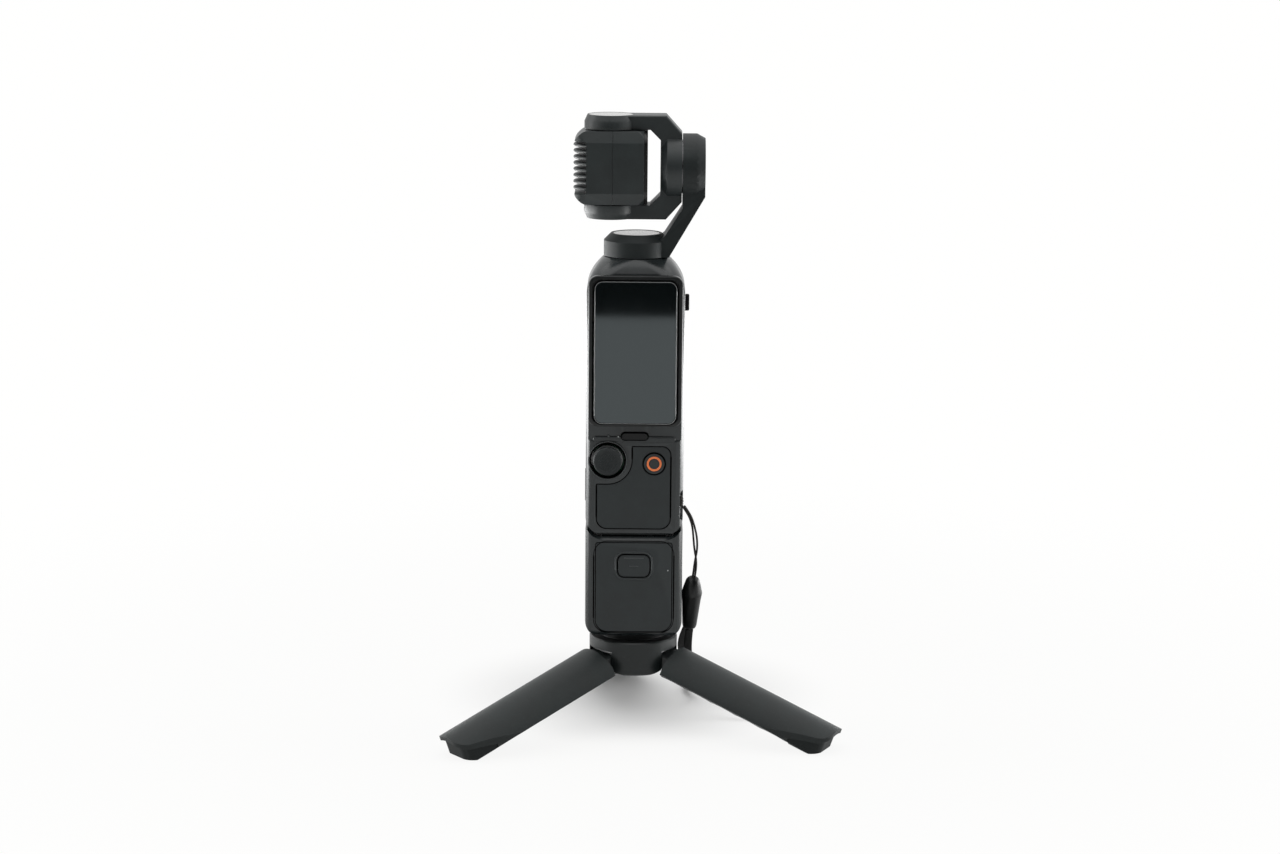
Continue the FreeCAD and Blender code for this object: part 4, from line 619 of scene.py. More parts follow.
STORE = "GeometryNodeStoreNamedAttribute"
ON_POINTS = {"data_type": "FLOAT_VECTOR", "domain": "POINT"}
outline = band.node(STORE, ON_POINTS,
                    {"Geometry": ring, "Name": "seat", "Value": band.vector(round_x, round_y, 0.0)})
flatness = band.given("Thickness") / band.given("Width")
wide_x = squared(round_x) * (1.0 - flatness) + round_x * flatness
wide_y = squared(round_y) * (1.0 - flatness) + round_y * flatness
sized = band.vector(wide_x * band.given("Width") * 0.5, wide_y * band.given("Thickness") * 0.5, 0.0)
outline = band.node("GeometryNodeSetPosition", None, {"Geometry": outline, "Position": sized})
skin = band.node("GeometryNodeCurveToMesh", None,
                 {"Curve": line, "Profile Curve": outline, "Fill Caps": True})
seat = band.node("GeometryNodeInputNamedAttribute", {"data_type": "FLOAT_VECTOR"}, {"Name": "seat"})
seat_x, seat_y, _ = band.split(seat)
run_kept = band.node("GeometryNodeInputNamedAttribute", {"data_type": "FLOAT"}, {"Name": "run"})
weave = band.vector(run_kept, seat_x, seat_y)
band.serve(band.node(STORE, ON_POINTS, {"Geometry": skin, "Name": "weave", "Value": weave}))
print("band recipe inputs:", list(band.ids))

# %% [markdown]
# ## Plates, and carving
#
# Flat pieces with rounded outlines are plates: an outline given two heights. A Boolean modifier
# takes one solid out of another, and the result is read back as a plain mesh.

# %% Outlines, plates and carving


def rounded(u0, u1, v0, v1, radius, steps=8):
    """The outline of a rounded rectangle, in millimetres."""
    points = []
    corners = ((u1, v1, 0), (u0, v1, 1), (u0, v0, 2), (u1, v0, 3))
    for u, v, quarter in corners:
        cu = u - math.copysign(radius, u - (u0 + u1) / 2)
        cv = v - math.copysign(radius, v - (v0 + v1) / 2)
        for i in range(steps + 1):
            a = math.pi / 2 * (quarter + i / steps)
            points.append((cu + radius * math.cos(a), cv + radius * math.sin(a)))
    return points


def around(x, z, half_x, half_z, radius, steps=8):
    """The outline of a rounded rectangle round a middle."""
    return rounded(x - half_x, x + half_x, z - half_z, z + half_z, radius, steps)


def slab(name, outline, front, back):
    """A plate: an outline (x, z) between two depths y, in millimetres."""
    work = bmesh.new()
    ends = []
    for y in (front, back):
        ends.append([work.verts.new(mm(x, y, z)) for x, z in outline])
    for face in ends:
        work.faces.new(face)
    for i in range(len(outline)):
        j = (i + 1) % len(outline)
        work.faces.new((ends[0][i], ends[0][j], ends[1][j], ends[1][i]))
    bmesh.ops.recalc_face_normals(work, faces=work.faces)
    mesh = bpy.data.meshes.new(name)
    work.to_mesh(mesh)
    work.free()
    return mesh


def tidy_shading(mesh):
    """Merges a mesh's points and flat areas, and shades it smooth between its sharp edges."""
    work = bmesh.new()
    work.from_mesh(mesh)
    bmesh.ops.remove_doubles(work, verts=work.verts, dist=MERGE)
    flat = math.radians(0.3)
    bmesh.ops.dissolve_limit(work, angle_limit=flat, verts=work.verts, edges=work.edges)
    shade_edges(work, 30)
    work.to_mesh(mesh)
    work.free()
    return mesh


def carve(name, mesh, tool):
    """The mesh less the tool."""
    pair = []
    for data in (mesh, tool):
        made = bpy.data.objects.new("carving", data)
        bpy.context.collection.objects.link(made)
        pair.append(made)
    cut = pair[0].modifiers.new("cut", "BOOLEAN")
    cut.operation = "DIFFERENCE"
    cut.solver = "EXACT"
    cut.object = pair[1]
    bpy.context.view_layer.update()
    ready = pair[0].evaluated_get(bpy.context.evaluated_depsgraph_get())
    made = bpy.data.meshes.new_from_object(ready)
    made.name = name
    for spare in pair:
        bpy.data.objects.remove(spare)
    return tidy_shading(made)


print("plates and carving ready")

# %% [markdown]
# Round pieces are turned, as on a lathe: a profile of radii along an axis, spun round it.

# %% Turned shapes


def turned(name, profile, base, axis, sides=48):
    """A mesh from (distance along axis, radius) pairs in millimetres, spun round the axis."""
    axis = Vector(axis).normalized()
    side = axis.orthogonal().normalized()
    other = axis.cross(side)
    base = Vector(base)
    work = bmesh.new()
    rings = []
    for along, radius in profile:
        middle = base + axis * along
        if radius < 0.001:
            rings.append([work.verts.new(middle * MM)] * sides)
            continue
        ring = []
        for i in range(sides):
            a = 2 * math.pi * i / sides
            out = side * math.cos(a) + other * math.sin(a)
            ring.append(work.verts.new((middle + out * radius) * MM))
        rings.append(ring)
    for low, high in zip(rings, rings[1:]):
        for i in range(sides):
            corners = [low[i], low[(i + 1) % sides], high[(i + 1) % sides], high[i]]
            face = []
            for corner in corners:
                if corner not in face:
                    face.append(corner)
            if len(face) > 2:
                work.faces.new(face)
    for ends in (rings[0], rings[-1]):
        if ends[0] is not ends[1]:
            work.faces.new(ends)
    bmesh.ops.recalc_face_normals(work, faces=work.faces)
    shade_edges(work, 35)
    mesh = bpy.data.meshes.new(name)
    work.to_mesh(mesh)
    work.free()
    return mesh


print("turning ready")

# %% [markdown]
# ## Gaps and seams
#
# The dark lines round the panels, the screen and the buttons are gaps with no light in them. A
# thin matt black bead lies in each as painted shade, half under the surface: a closed outline
# with the band recipe's round section drawn along it. A paler bead paints a highlight along a
# thin raised rim the same way.

# %% Beads in the gaps


def loop_curve(name, points, closed):
    """A curve of straight runs through points in millimetres."""
    curve = bpy.data.curves.new(name, "CURVE")
    curve.dimensions = "3D"
    line = curve.splines.new("POLY")
    line.points.add(len(points) - 1)
    for point, place in zip(line.points, points):
        point.co = (*mm(*place), 1.0)
    line.use_cyclic_u = closed
    made = bpy.data.objects.new(name, curve)
    bpy.context.collection.objects.link(made)
    return made


def bead(name, outline, y, width, body="camera_body", slot="soft_rubber", look="gap_black",
         closed=True):
    """A bead along an outline (x, z) at a depth y, half as deep as it is wide."""
    size = {"Width": width * MM, "Thickness": width * 0.5 * MM, "Step": 0.35 * MM, "Sides": 10}
    curve = loop_curve(name, [(x, y, z) for x, z in outline], closed)
    return put(name, band.cook(name, look, curve, **size), body, slot)


def circle(x, z, radius, count=64):
    """The outline of a circle, in millimetres."""
    turn = [2 * math.pi * i / count for i in range(count)]
    return [(x + radius * math.cos(a), z + radius * math.sin(a)) for a in turn]


def front_of(node):
    """How far forward a node's box reaches, in millimetres."""
    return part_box(node)[0][1] / MM


FRONT_Y = -14.5
STICK_X, STICK_Z = -8.9, 94.3
RECORD_X, RECORD_Z = 6.5, 93.2
RELEASE_Z = 58.6
WINDOW_Z = 102.3
# Black beads in the gaps are painted shade.
# Name, outline, how far behind the front, width.
GAPS = (
    ("release_gap", around(0.0, RELEASE_Z, 5.35, 3.85, 2.1), -0.38, 0.66),
    # A black bead paints the shade along the crease round the handle's front face.
    ("handle_line", rounded(-13.35, 13.35, 35.6, 66.9, 4.6, 12), 0.02, 0.46),
    ("record_gap", circle(RECORD_X, RECORD_Z, 3.55), -0.04, 0.66),
    ("window_gap", around(0.0, WINDOW_Z, 4.5, 1.25, 1.22), -0.03, 0.50),
)
for name, outline, behind, width in GAPS:
    bead(name, outline, FRONT_Y + behind, width)
print(len(GAPS), "gaps")

# %% [markdown]
# A few things stand proud of the front: the soft top of the plateau, the smoked window, thin
# rims round the stick and the release button, the dash on that button and three tiny dots. The
# first two are plates with a Bevel modifier. The rims and the dash are no more than lines of
# light in the photo, so the same beads draw them in a paler finish as painted highlights, with
# one more along the release button's top, and the dots are turned; the two on the plateau's top
# edge are painted highlights too.

# %% Raised shapes: the plateau's soft top, the window, painted highlights on rims and the release's dash, small dots
PLATEAU_TOP = rounded(-13.9, 13.6, 100.3, 102.3, 0.9)
mesh = slab("plateau_top", PLATEAU_TOP, FRONT_Y - 0.006, FRONT_Y + 1.0)
round_edges(put("plateau_top", mesh, "camera_body", "case_plastic"), 0.5, 60, 4)
window = around(0.0, WINDOW_Z, 4.25, 1.1, 1.05)
mesh = slab("status_window_look", window, FRONT_Y - 0.07, FRONT_Y + 0.9)
made = put("status_window_look", mesh, "camera_body", "window_plastic", "status_window")
round_edges(made, 0.1, 60)
# Pale beads on the stick's and the release button's rims are painted highlights.
RIM_HIGHLIGHT = {"slot": "case_plastic", "look": "rim_plastic"}
BEZEL_RISE = 0.60
# A black bead paints the shade in the gap round the stick's cap.
bead("stick_gap", circle(STICK_X, STICK_Z, 5.74, 96), FRONT_Y + 0.28, 0.74)
bead("stick_rim_highlight", circle(STICK_X, STICK_Z, 6.30, 96), FRONT_Y - BEZEL_RISE, 0.36, **RIM_HIGHLIGHT)
# The dash and a line along the release button's top edge are pale beads: painted highlights.
# Name, half length, height, width.
DASHES = (("release_dash", 1.5, RELEASE_Z, 0.42), ("release_shine", 3.3, RELEASE_Z + 2.75, 0.5))
for name, reach, z, width in DASHES:
    bead(name, [(-reach, z), (reach, z)], front_of("release_button"), width, "release",
         "button_plastic", "rim_plastic", closed=False)
release_ring = around(0.0, RELEASE_Z, 5.95, 4.45, 2.6)
bead("release_rim_highlight", release_ring, front_of("handle_front_plate"), 0.36, **RIM_HIGHLIGHT)
# The two dots on the plateau's top edge are pale glints: painted highlights.
# Name, place, radius, finish.
DOTS = (("led_dot", 11.4, 57.0, 0.24, "led_dot"), ("lamp_dot", -5.4, 102.25, 0.28, "led_dot"),
        ("mic_dot", -8.7, 102.4, 0.34, "rim_plastic"))
for name, x, z, radius, look in DOTS:
    dome = [(-0.1, 0.0), (-0.1, radius), (0.05, radius * 0.9), (0.1, radius * 0.5), (0.11, 0.0)]
    mesh = turned(name, dome, (x, FRONT_Y, z), (0, -1, 0), 16)
    mesh.materials.append(finish[look])
    put(name, mesh, "camera_body", "button_plastic")
print("window, rims and", len(DOTS), "dots")

# %% [markdown]
# The inset panel's outline goes round the stick, so its own front edge gives the line: the mesh
# is cut just under its face, and the outer loop of the cut is followed.

# %% Lines taken from a node's own outline


def face_loop(node, y):
    """The longest closed outline of a node on the plane at depth y, in millimetres."""
    work = bmesh.new()
    work.from_mesh(clean_copy(node))
    every = list(work.verts) + list(work.edges) + list(work.faces)
    cut = bmesh.ops.bisect_plane(work, geom=every, plane_co=mm(0, y, 0), plane_no=(0, 1, 0))
    edges = dict.fromkeys(item for item in cut["geom_cut"] if isinstance(item, bmesh.types.BMEdge))
    loops = []
    while edges:
        edge = next(iter(edges))
        del edges[edge]
        loop = [edge.verts[0], edge.verts[1]]
        going = True
        while going:
            going = False
            for follow in loop[-1].link_edges:
                if follow in edges:
                    del edges[follow]
                    loop.append(follow.other_vert(loop[-1]))
                    going = True
                    break
        loops.append([(v.co.x / MM, v.co.z / MM) for v in loop])
    work.free()
    best = max(loops, key=lambda loop: sum(math.dist(a, b) for a, b in zip(loop, loop[1:])))
    return best[:-1] if math.dist(best[0], best[-1]) < 0.001 else best


UNDER_FACE = 0.05
# Black beads paint the shade in the gaps round the panel and the handle plate.
for node, width in (("control_panel", 0.54), ("handle_front_plate", 0.26)):
    line = face_loop(node, max(front_of(node), FRONT_Y) + UNDER_FACE)
    bead(node + "_gap", line, FRONT_Y + 0.02, width)
    print(node, "outline of", len(line), "points")

# %% [markdown]
# ## The front shell and the stick
#
# The thumb stick stands in a round well with a thin raised rim. The well is widened with a
# turned cutter, so that the rim is as thin as the real one.

# %% The front shell with its well
WELL_R = 6.12
well_profile = [(-1.5, 0.0), (-1.5, WELL_R), (3.0, WELL_R), (3.0, 0.0)]
cutter = turned("well", well_profile, (STICK_X, FRONT_Y, STICK_Z), (0, -1, 0), 96)
mesh = carve("body_front_look", clean_copy("body_front_shell"), cutter)
front = put("body_front_look", mesh, "camera_body", slot_of["body_front_shell"], "body_front_shell")
round_edges(front, 0.30)
print("front shell", len(mesh.polygons), "faces")

# %% [markdown]
# A few pieces look darker or duller in the photo than the rest of their slot, and get a finish
# of their own; the stick's rocker is made black as painted shade in the well round its cap.

# %% Finishes of their own
# The stick's rocker is painted black as shade in the well.
OWN_LOOKS = {
    "stick_rocker": "gap_black", "side_key": "card_plastic", "memory_card": "card_plastic",
    "pan_arm": "arm_paint", "foot_pad_1": "foot_rubber", "foot_pad_2": "foot_rubber",
    "foot_pad_3": "foot_rubber",
}
for piece, look in OWN_LOOKS.items():
    bpy.data.objects[piece + "_look"].data.materials[0] = finish[look]
print(len(OWN_LOOKS), "pieces with a finish of their own")

# %% [markdown]
# The stick's cap is round, with a shallow dish on top and a stem below, so it is turned too. Its
# rim overhangs, and its underside is raised so that it clears the ring when the stick tilts.

# %% The stick's cap
CAP_BASE = -15.5
cap_profile = [(-2.8, 0.0), (-2.8, 1.5), (0.0, 1.5), (0.0, 3.7), (0.14, 4.35), (0.50, 4.78),
               (1.15, 4.76), (1.50, 4.6), (1.62, 4.4), (1.58, 4.2), (1.42, 3.8), (1.30, 3.0),
               (1.22, 1.5), (1.20, 0.0)]
mesh = turned("stick_cap_look", cap_profile, (STICK_X, CAP_BASE, STICK_Z), (0, -1, 0), 72)
put("stick_cap_look", mesh, "stick", "stick_rubber", "stick_cap")
print("stick cap", len(mesh.polygons), "faces")

# %% [markdown]
# The cap's dish is covered in small round dots, set close, that the thumb grips. A recipe lays a
# grid of points with every second row shifted, drops those outside a circle, and puts a small
# sphere of few faces on each.

# %% Dots on the cap
ROW_SPACING = 0.866
DISH_DEPTH = 0.10 * MM
dots = Recipe("grip_dots", Pitch=1.0, Reach=1.0, Dot=1.0, Across=15, Centre=Vector((0.0, 0.0, 0.0)))
span = dots.given("Pitch") * (dots.given("Across") - 1.0)
field = dots.node("GeometryNodeMeshGrid", None,
                  {"Size X": span, "Size Y": span * ROW_SPACING,
                   "Vertices X": dots.given("Across"), "Vertices Y": dots.given("Across")})
dot_x, dot_y, _ = dots.split(dots.node("GeometryNodeInputPosition"))
row = (dot_y / (dots.given("Pitch") * ROW_SPACING)).sum("ROUND").sum("PINGPONG", 1.0)
shifted = dot_x + row * dots.given("Pitch") * 0.5
away = (shifted * shifted + dot_y * dot_y).sum("SQRT") / dots.given("Reach")
dish = away * away * -DISH_DEPTH
field = dots.node("GeometryNodeSetPosition", None,
                  {"Geometry": field, "Position": dots.vector(shifted, dish, dot_y)})
moved_x, _, moved_z = dots.split(dots.node("GeometryNodeInputPosition"))
far = (moved_x * moved_x + moved_z * moved_z).sum("SQRT")
field = dots.node("GeometryNodeDeleteGeometry", {"domain": "POINT"},
                  {"Geometry": field, "Selection": far.sum("GREATER_THAN", dots.given("Reach"))})
field = dots.node("GeometryNodeTransform", None,
                  {"Geometry": field, "Translation": dots.given("Centre")})
dot = dots.node("GeometryNodeMeshIcoSphere", None, {"Radius": dots.given("Dot"), "Subdivisions": 2})
dots.serve(dots.node("GeometryNodeInstanceOnPoints", None, {"Points": field, "Instance": dot}))
mesh = dots.cook("stick_dots", "stick_rubber", Pitch=0.56 * MM, Reach=4.15 * MM, Dot=0.16 * MM,
                 Across=17, Centre=mm(STICK_X, CAP_BASE - 1.22, STICK_Z))
put("stick_dots", mesh, "stick", "stick_rubber")
print("dots", len(mesh.polygons), "faces")

# %% [markdown]
# ## The screen
#
# The cover glass is ground to a soft edge all round. The glass is a plate with a Bevel modifier
# on its front rim; a pale bead along it paints the thin pale line inside the dark tray as a
# painted highlight, and a black bead darkens the gap between it and the tray as painted shade.

# %% Tray and glass
TRAY_SPREAD = 15.5 / 15.15
mesh = clean_copy("screen_tray")
for vertex in mesh.vertices:
    vertex.co.x *= TRAY_SPREAD
tray = put("screen_tray_look", mesh, "screen", "screen_frame", "screen_tray")
round_edges(tray, 0.22)
glass_low, glass_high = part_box("screen_glass")
GLASS_HALF = 13.45
GLASS_BOTTOM = glass_low[2] / MM - 0.35
GLASS_TOP = glass_high[2] / MM - 0.55
GLASS_FRONT = glass_low[1] / MM
GLASS_BACK = glass_high[1] / MM


def glass_line(spread, radius):
    """The cover glass's outline, let out by a spread, in millimetres."""
    half = GLASS_HALF + spread
    return rounded(-half, half, GLASS_BOTTOM - spread, GLASS_TOP + spread, radius, 12)


mesh = slab("screen_glass_look", glass_line(0.0, 2.6), GLASS_FRONT - 0.10, GLASS_BACK)
for face in mesh.polygons:
    face.use_smooth = True
glass = put("screen_glass_look", mesh, "screen", "screen_glass", "screen_glass")
round_edges(glass, 0.38, 60, 5)
# A black bead paints the shade in the gap, and a pale one the highlight on the glass's edge.
bead("screen_gap", glass_line(0.33, 2.8), GLASS_FRONT + 0.02, 0.46, "screen")
bead("glass_rim", glass_line(-0.03, 2.6), GLASS_FRONT - 0.14, 0.30, "screen",
     "screen_glass", "glass_rim")
print("glass from z", round(GLASS_BOTTOM, 2), "to", round(GLASS_TOP, 2), "mm")

# %% [markdown]
# ## The camera head's cooling fins
#
# The stowed head turns its heat sink to the left: eight thin fins with rounded tips. Seen from
# above each fin is a bow, so light shows between their tips. The CAD model has straight slots;
# here they are carved away and a recipe draws one bowed fin and stacks it.

# %% One fin, stacked
ROLL_Z = 190.5
FIN_COUNT = 8
FIN_PITCH = 2.03
FIN_BOW = 10.0
FIN_TIP_X = -21.0
FIN_ROOT_X = -16.65
fins = Recipe("cooling_fins", Count=8, Pitch=1.0, Bow=1.0, Depth=1.0, Root=1.0, Tip=1.0, Spread=1.0,
              Centre=Vector((0.0, 0.0, 0.0)))
arc = fins.node("GeometryNodeCurveArc", {"mode": "RADIUS"},
                {"Resolution": 40, "Radius": fins.given("Bow"),
                 "Start Angle": math.pi - fins.given("Spread"),
                 "Sweep Angle": fins.given("Spread") * 2.0})
back = fins.given("Depth") * -1.0
thick, thin = fins.given("Root") * 0.5, fins.given("Tip") * 0.5
corners = ((back, thick * -1.0), (0.0, thin * -1.0), (0.0, thin), (back, thick))
points = {"Point %d" % (i + 1): fins.vector(*corner, 0.0) for i, corner in enumerate(corners)}
wedge = fins.node("GeometryNodeCurvePrimitiveQuadrilateral", {"mode": "POINTS"}, points)
wedge = fins.node("GeometryNodeFilletCurve", {"mode": "POLY"},
                  {"Curve": wedge, "Count": 4, "Radius": thin * 0.96, "Limit Radius": True})
fin = fins.node("GeometryNodeCurveToMesh", None,
                {"Curve": arc, "Profile Curve": wedge, "Fill Caps": True})
stack = fins.node("GeometryNodeMeshLine", {"mode": "OFFSET"},
                  {"Count": fins.given("Count"), "Start Location": fins.given("Centre"),
                   "Offset": fins.vector(0.0, 0.0, fins.given("Pitch"))})
fins.serve(fins.node("GeometryNodeInstanceOnPoints", None, {"Points": stack, "Instance": fin}))
lowest = ROLL_Z - (FIN_COUNT - 1) / 2 * FIN_PITCH
mesh = fins.cook("head_fins", "head_plastic", Count=FIN_COUNT, Pitch=FIN_PITCH * MM,
                 Bow=FIN_BOW * MM, Depth=4.4 * MM, Root=1.25 * MM, Tip=1.02 * MM,
                 Spread=math.radians(66), Centre=mm(FIN_TIP_X + FIN_BOW, 0, lowest))
tidy_shading(mesh)
put("head_fins", mesh, "camera_head", "head_plastic")
print("fins", len(mesh.polygons), "faces")

# %% [markdown]
# The shell's straight slots would show between the bowed fins, so a plate with rounded corners
# cuts that whole part away, and the fins stand in the recess.

# %% The head's shell without the straight slots
RECESS_HALF = 8.7
RECESS_DEEP = 12
opening = rounded(-24.0, FIN_ROOT_X, ROLL_Z - RECESS_HALF, ROLL_Z + RECESS_HALF, 1.2)
recess = slab("fin_recess", opening, -RECESS_DEEP, RECESS_DEEP)
mesh = carve("head_rear_look", clean_copy("head_rear"), recess)
shell = put("head_rear_look", mesh, "camera_head", "head_plastic", "head_rear")
round_edges(shell, 0.22)
print("head shell", len(mesh.polygons), "faces")

# %% [markdown]
# ## The yoke
#
# The yoke's cast limb has broad facets where it turns the corner towards the roll motor. The
# edges of those slanting faces are bevelled wide with bmesh before the fine rounding.

# %% The yoke with broad facets


def facet(mesh, width, wanted):
    """Bevels the edges that a test picks, flat, by a width in millimetres."""
    work = bmesh.new()
    work.from_mesh(mesh)
    picked = [edge for edge in work.edges if len(edge.link_faces) == 2 and wanted(edge)]
    bmesh.ops.bevel(work, geom=picked, offset=width * MM, offset_type="OFFSET", segments=1,
                    profile=0.5, affect="EDGES", clamp_overlap=True)
    print("bevelled", len(picked), "edges")
    work.to_mesh(mesh)
    work.free()
    return tidy_shading(mesh)


def outer_slant(edge):
    """Edges between a slanting outer face of the yoke and its front or back."""
    normals = [face.normal for face in edge.link_faces]
    slants = [n for n in normals if 0.5 < n.x < 0.9 and abs(n.z) > 0.4 and abs(n.y) < 0.1]
    flats = [n for n in normals if abs(n.y) > 0.9]
    return len(slants) == 1 and len(flats) == 1


YOKE_FACET = 1.3
mesh = facet(clean_copy("yoke"), YOKE_FACET, outer_slant)
yoke = put("yoke_look", mesh, "roll_stage", "gimbal_alloy", "yoke")
round_edges(yoke, 0.28)
print("yoke", len(mesh.polygons), "faces")

# %% [markdown]
# ## The strap
#
# The strands and the webbing are bands along the cords' own lines, and the length of each is
# printed. The record's solids stand for them in the simulation.

# %% A cord drawn as a band


def declared_cord(name, curve, slot, node, size, **facts):
    points, length = cord_points(curve)
    mesh = band.cook(name, slot, curve, **size)
    made = put(name, mesh, "camera_body", slot, node)
    print(name, round(length / MM, 1), "mm,", len(mesh.polygons), "faces")


# %% [markdown]
# The rubber sleeve is a turned shape. Near its top a shallow groove lets the strands in from the
# front.

# %% The sleeve
SLEEVE_TOP = Vector((20.0, -3.0, 52.1))
SLEEVE_END = Vector((19.0, 3.0, 33.5))
SLEEVE_PROFILE = [(-0.1, 0.0), (-0.1, 0.9), (0.15, 1.5), (0.6, 2.0), (1.2, 2.35), (2.6, 2.72),
                  (4.4, 3.15), (5.4, 3.40), (5.9, 3.48), (6.4, 3.42), (9.0, 3.14), (14.0, 2.78),
                  (18.2, 2.48), (19.1, 2.3), (19.4, 2.1), (19.5, 1.7), (19.5, 0.0)]
ENTRY = Vector((19.9, -5.3, 50.6))
GROOVE_WIDE, GROOVE_TALL, GROOVE_DEEP = 0.9, 2.0, 0.9
mesh = turned("strap_sleeve", SLEEVE_PROFILE, SLEEVE_TOP, SLEEVE_END - SLEEVE_TOP, 64)
for vertex in mesh.vertices:
    gap = vertex.co / MM - ENTRY
    if gap.y < 3.0:
        inside = math.exp(-(gap.x / GROOVE_WIDE) ** 2 - (gap.z / GROOVE_TALL) ** 2)
        vertex.co.y += inside * GROOVE_DEEP * MM
sleeve = put("rubber_sleeve", mesh, "camera_body", "sleeve_rubber", "strap_sleeve")
print("sleeve", len(mesh.polygons), "faces")

# %% [markdown]
# Where the strands leave the slot they are hitched round the lanyard pin: a small knot of turns,
# made as one cord that winds round itself. A NURBS line through a few points a turn is drawn as
# a round band.

# %% The hitch at the slot
HITCH_AT = Vector((15.2, -12.6, 80.3))
HITCH_TURNS = 4.0
HITCH_RADIUS = 0.85
HITCH_TALL = 3.4
HITCH_POINTS = 33
HITCH_D = STRAND_D * 1.25
route = []
for i in range(HITCH_POINTS):
    part = i / (HITCH_POINTS - 1)
    a = 2 * math.pi * HITCH_TURNS * part
    swell = HITCH_RADIUS * (0.7 + 0.3 * math.sin(math.pi * part))
    route.append((HITCH_AT.x + swell * math.cos(a), HITCH_AT.y + swell * math.sin(a) * 0.8,
                  HITCH_AT.z - HITCH_TALL / 2 + HITCH_TALL * part))
hitch_line = cord_curve("hitch", route, 0.0)
mesh = band.cook("strap_hitch", "strap_cord", hitch_line,
                 Width=HITCH_D * MM, Thickness=HITCH_D * MM, Step=0.12 * MM, Sides=10)
hitch = put("strap_hitch", mesh, "camera_body", "strap_cord")
print("hitch", len(mesh.polygons), "faces")

# %% [markdown]
# The hitch belongs to the left strand and the sleeve to the right one. The webbing comes out of
# the sleeve, goes round and ends in it again.

# %% Strands and webbing
strand_size = {"Width": STRAND_D * MM, "Thickness": STRAND_D * MM, "Step": 0.14 * MM, "Sides": 14}
declared_cord("strand_left", strands["left"], "strap_cord", "strap_cord_left", strand_size,
              diameter=STRAND_D * MM, far_end="fitting", stiffness="limp", lay="hanging",
              with_pieces=[hitch])
declared_cord("strand_right", strands["right"], "strap_cord", "strap_cord_right", strand_size,
              diameter=STRAND_D * MM, far_end="fitting", stiffness="limp", lay="hanging",
              with_pieces=[sleeve])
WEBBING_T = 0.9
loop = cord_curve("webbing", WEBBING_ROUTE, 0.0)
webbing_size = {"Width": WEBBING_W * MM, "Thickness": WEBBING_T * MM, "Step": 0.4 * MM, "Sides": 20}
declared_cord("webbing", loop, "strap_fabric", "strap_webbing", webbing_size,
              diameter=WEBBING_W * MM, far_end="object", stiffness="limp", lay="loose")

# %% [markdown]
# ## Floor, world and lamps
#
# The photo has a white floor that runs into a white backdrop, with soft shadows. The floor is
# a matt white whose mix with a plain white glow is seen by the camera and by reflections, so
# that it looks white and still holds the shadow. The glow's share is small under the object and
# grows with the distance from it, so that the floor is also painted darker there: a painted
# shadow on top of the rendered one. Behind the photographer the room is dark, which is what the
# upper part of the screen mirrors.

# %% The floor


def stage_sheet(name, corners):
    """A flat piece of the studio with four corners, in metres."""
    mesh = bpy.data.meshes.new(name)
    mesh.from_pydata(corners, [], [(0, 1, 2, 3)])
    made = bpy.data.objects.new(name, mesh)
    bpy.context.collection.objects.link(made)
    return made


def seen_rays(paint):
    """1 for rays from the camera, a mirror or glass."""
    light = "ShaderNodeLightPath"
    camera = paint.node(light, out="Is Camera Ray")
    mirror = paint.node(light, out="Is Glossy Ray")
    glass = paint.node(light, out="Is Transmission Ray")
    return camera.sum("MAXIMUM", mirror).sum("MAXIMUM", glass)


FLOOR_FRONT = -0.968
SHADOW_Y = 0.045
GLOW_CORE, GLOW_NEAR = 0.10, 0.90
CORE_EDGE = (0.012, 0.075)
NEAR_EDGE = (0.09, 0.40)
floor = stage_sheet("floor", [(-4.0, FLOOR_FRONT, 0.0), (4.0, FLOOR_FRONT, 0.0),
                              (4.0, 5.0, 0.0), (-4.0, 5.0, 0.0)])
white = Paint("floor_white")
matt = white.node("ShaderNodeBsdfDiffuse", None, {"Color": (0.86, 0.86, 0.855, 1.0)})
glow = white.node("ShaderNodeEmission", None, {"Color": (1.0, 1.0, 0.995, 1.0), "Strength": 1.0})
behind = white.node("ShaderNodeVectorMath", {"operation": "ADD"},
                    {0: white.place(), 1: (0.0, -SHADOW_Y, 0.0)})
away = white.node("ShaderNodeVectorMath", {"operation": "LENGTH"}, {0: behind}, out="Value")
# A small glow share near the object paints the floor darker there: a painted shadow.
share = (away.step(*CORE_EDGE) * (GLOW_NEAR - GLOW_CORE)
         + away.step(*NEAR_EDGE) * (1.0 - GLOW_NEAR) + GLOW_CORE)
both = white.node("ShaderNodeMixShader", None, {0: seen_rays(white) * share, 1: matt, 2: glow})
white.node("ShaderNodeOutputMaterial", None, {"Surface": both})
floor.data.materials.append(white.material)
print("floor from", FLOOR_FRONT, "m")

# %% [markdown]
# The world lights softly from above, behind and the sides and hardly from the front, so that
# the faces turned to the camera stay dark. Rays that a mirror sends to the front, low down, see
# the dark room.

# %% The world
WORLD_LIGHT = 0.60
FRONT_LIGHT = 0.12
ROOM_DARKNESS = 0.97
world = bpy.data.worlds.new("studio")
bpy.context.scene.world = world
world.use_nodes = True
sky = Sheet(world.node_tree)
_, deep_y, high_z = sky.split(sky.node("ShaderNodeTexCoord", out="Generated"))
mirror_ray = sky.node("ShaderNodeLightPath", out="Is Glossy Ray")
room = (deep_y * -1.0).step(0.55, 0.8) * (1.0 - high_z.step(0.30, 0.55))
soft = (1.0 - (deep_y * -1.0).step(-0.1, 0.7)) * (WORLD_LIGHT - FRONT_LIGHT) + FRONT_LIGHT
seen = 1.0 - mirror_ray * room * ROOM_DARKNESS
plain = seen_rays(sky)
level = seen * plain + soft * (1.0 - plain)
light = sky.node("ShaderNodeBackground", None, {"Color": (1.0, 1.0, 1.0, 1.0), "Strength": level})
sky.node("ShaderNodeOutputWorld", None, {"Surface": light})
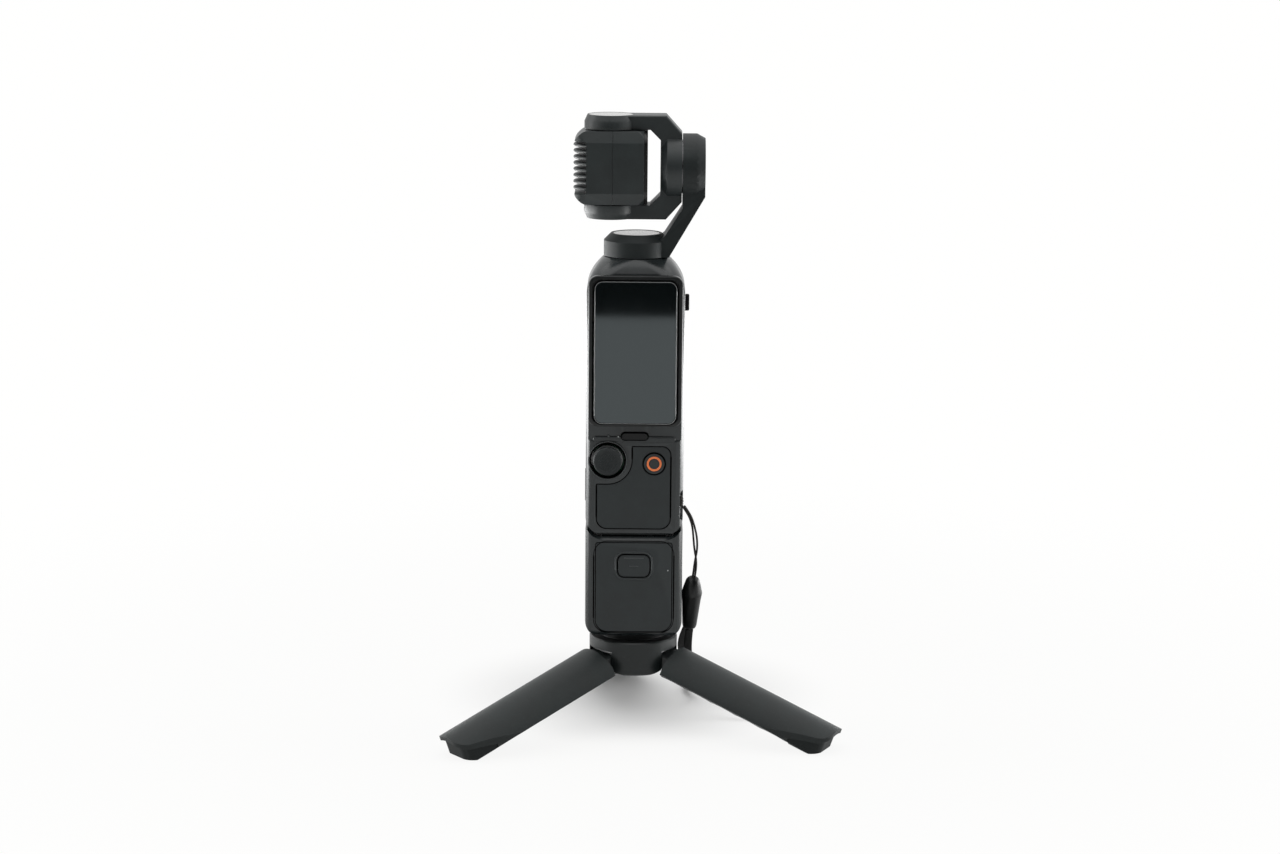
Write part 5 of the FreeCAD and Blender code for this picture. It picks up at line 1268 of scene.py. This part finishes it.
print("world at", WORLD_LIGHT, "and", FRONT_LIGHT, "from the front")

# %% [markdown]
# Two low pale cards stand right and left of the object, out of the picture, and only mirrored
# rays see them. They draw the bright line down each rounded corner of the case, and end below
# the gimbal, which stays dark at its edges.

# %% The side cards
CARD_LIGHT = 13.0
CARD_X = 0.24
CARD_NEAR, CARD_FAR = -0.09, 0.40
CARD_BOTTOM, CARD_TOP = 0.012, 0.118
TOP_FADE = (0.098, 0.117)
LOW_FADE = (0.045, 0.070)
LOW_SHARE = 0.35
CARD_EDGE = ((CARD_NEAR, CARD_BOTTOM), (CARD_FAR, CARD_BOTTOM), (CARD_FAR, CARD_TOP),
             (CARD_NEAR, CARD_TOP))
WHITE = (1.0, 1.0, 1.0, 1.0)
for name, x in (("card_left", -CARD_X), ("card_right", CARD_X)):
    card = stage_sheet(name, [(x, y, z) for y, z in CARD_EDGE])
    pale = Paint(name)
    shine = pale.node("ShaderNodeEmission", None, {"Color": WHITE, "Strength": CARD_LIGHT})
    clear = pale.node("ShaderNodeBsdfTransparent", None, {"Color": WHITE})
    up = pale.split(pale.place())[2]
    mirrored = pale.node("ShaderNodeLightPath", out="Is Glossy Ray")
    dimmed = up.step(*LOW_FADE) * (1.0 - LOW_SHARE) + LOW_SHARE
    shows = mirrored * (1.0 - up.step(*TOP_FADE)) * dimmed
    mixed = pale.node("ShaderNodeMixShader", None, {0: shows, 1: clear, 2: shine})
    pale.node("ShaderNodeOutputMaterial", None, {"Surface": mixed})
    card.data.materials.append(pale.material)
print("two side cards")

# %% [markdown]
# Three softboxes light the object: a large one above it, which makes the soft shadow under the
# legs, and a weak one at each side. A lamp with a wide face gives soft edges to light and shade.

# %% The lamps


def softbox(name, place, width, height, power):
    """A lamp with a flat face that looks at the middle of the object."""
    lamp = bpy.data.lights.new(name, "AREA")
    lamp.shape = "RECTANGLE"
    lamp.size = width
    lamp.size_y = height
    lamp.energy = power
    made = bpy.data.objects.new(name, lamp)
    bpy.context.collection.objects.link(made)
    aim = (mm(0, 0, 100) - Vector(place)).to_track_quat("-Z", "Y")
    made.matrix_world = Matrix.Translation(place) @ aim.to_matrix().to_4x4()


# Name, place in metres, width, height, power in watts.
SOFTBOXES = (
    ("top_box", (0.0, 0.0, 1.5), 2.2, 2.0, 12.0),
    ("left_box", (-1.2, 0.20, 0.45), 0.45, 1.0, 3.5),
    ("right_box", (1.2, 0.25, 0.45), 0.45, 1.0, 3.5),
)
for box in SOFTBOXES:
    softbox(*box)
print(len(SOFTBOXES), "lamps")
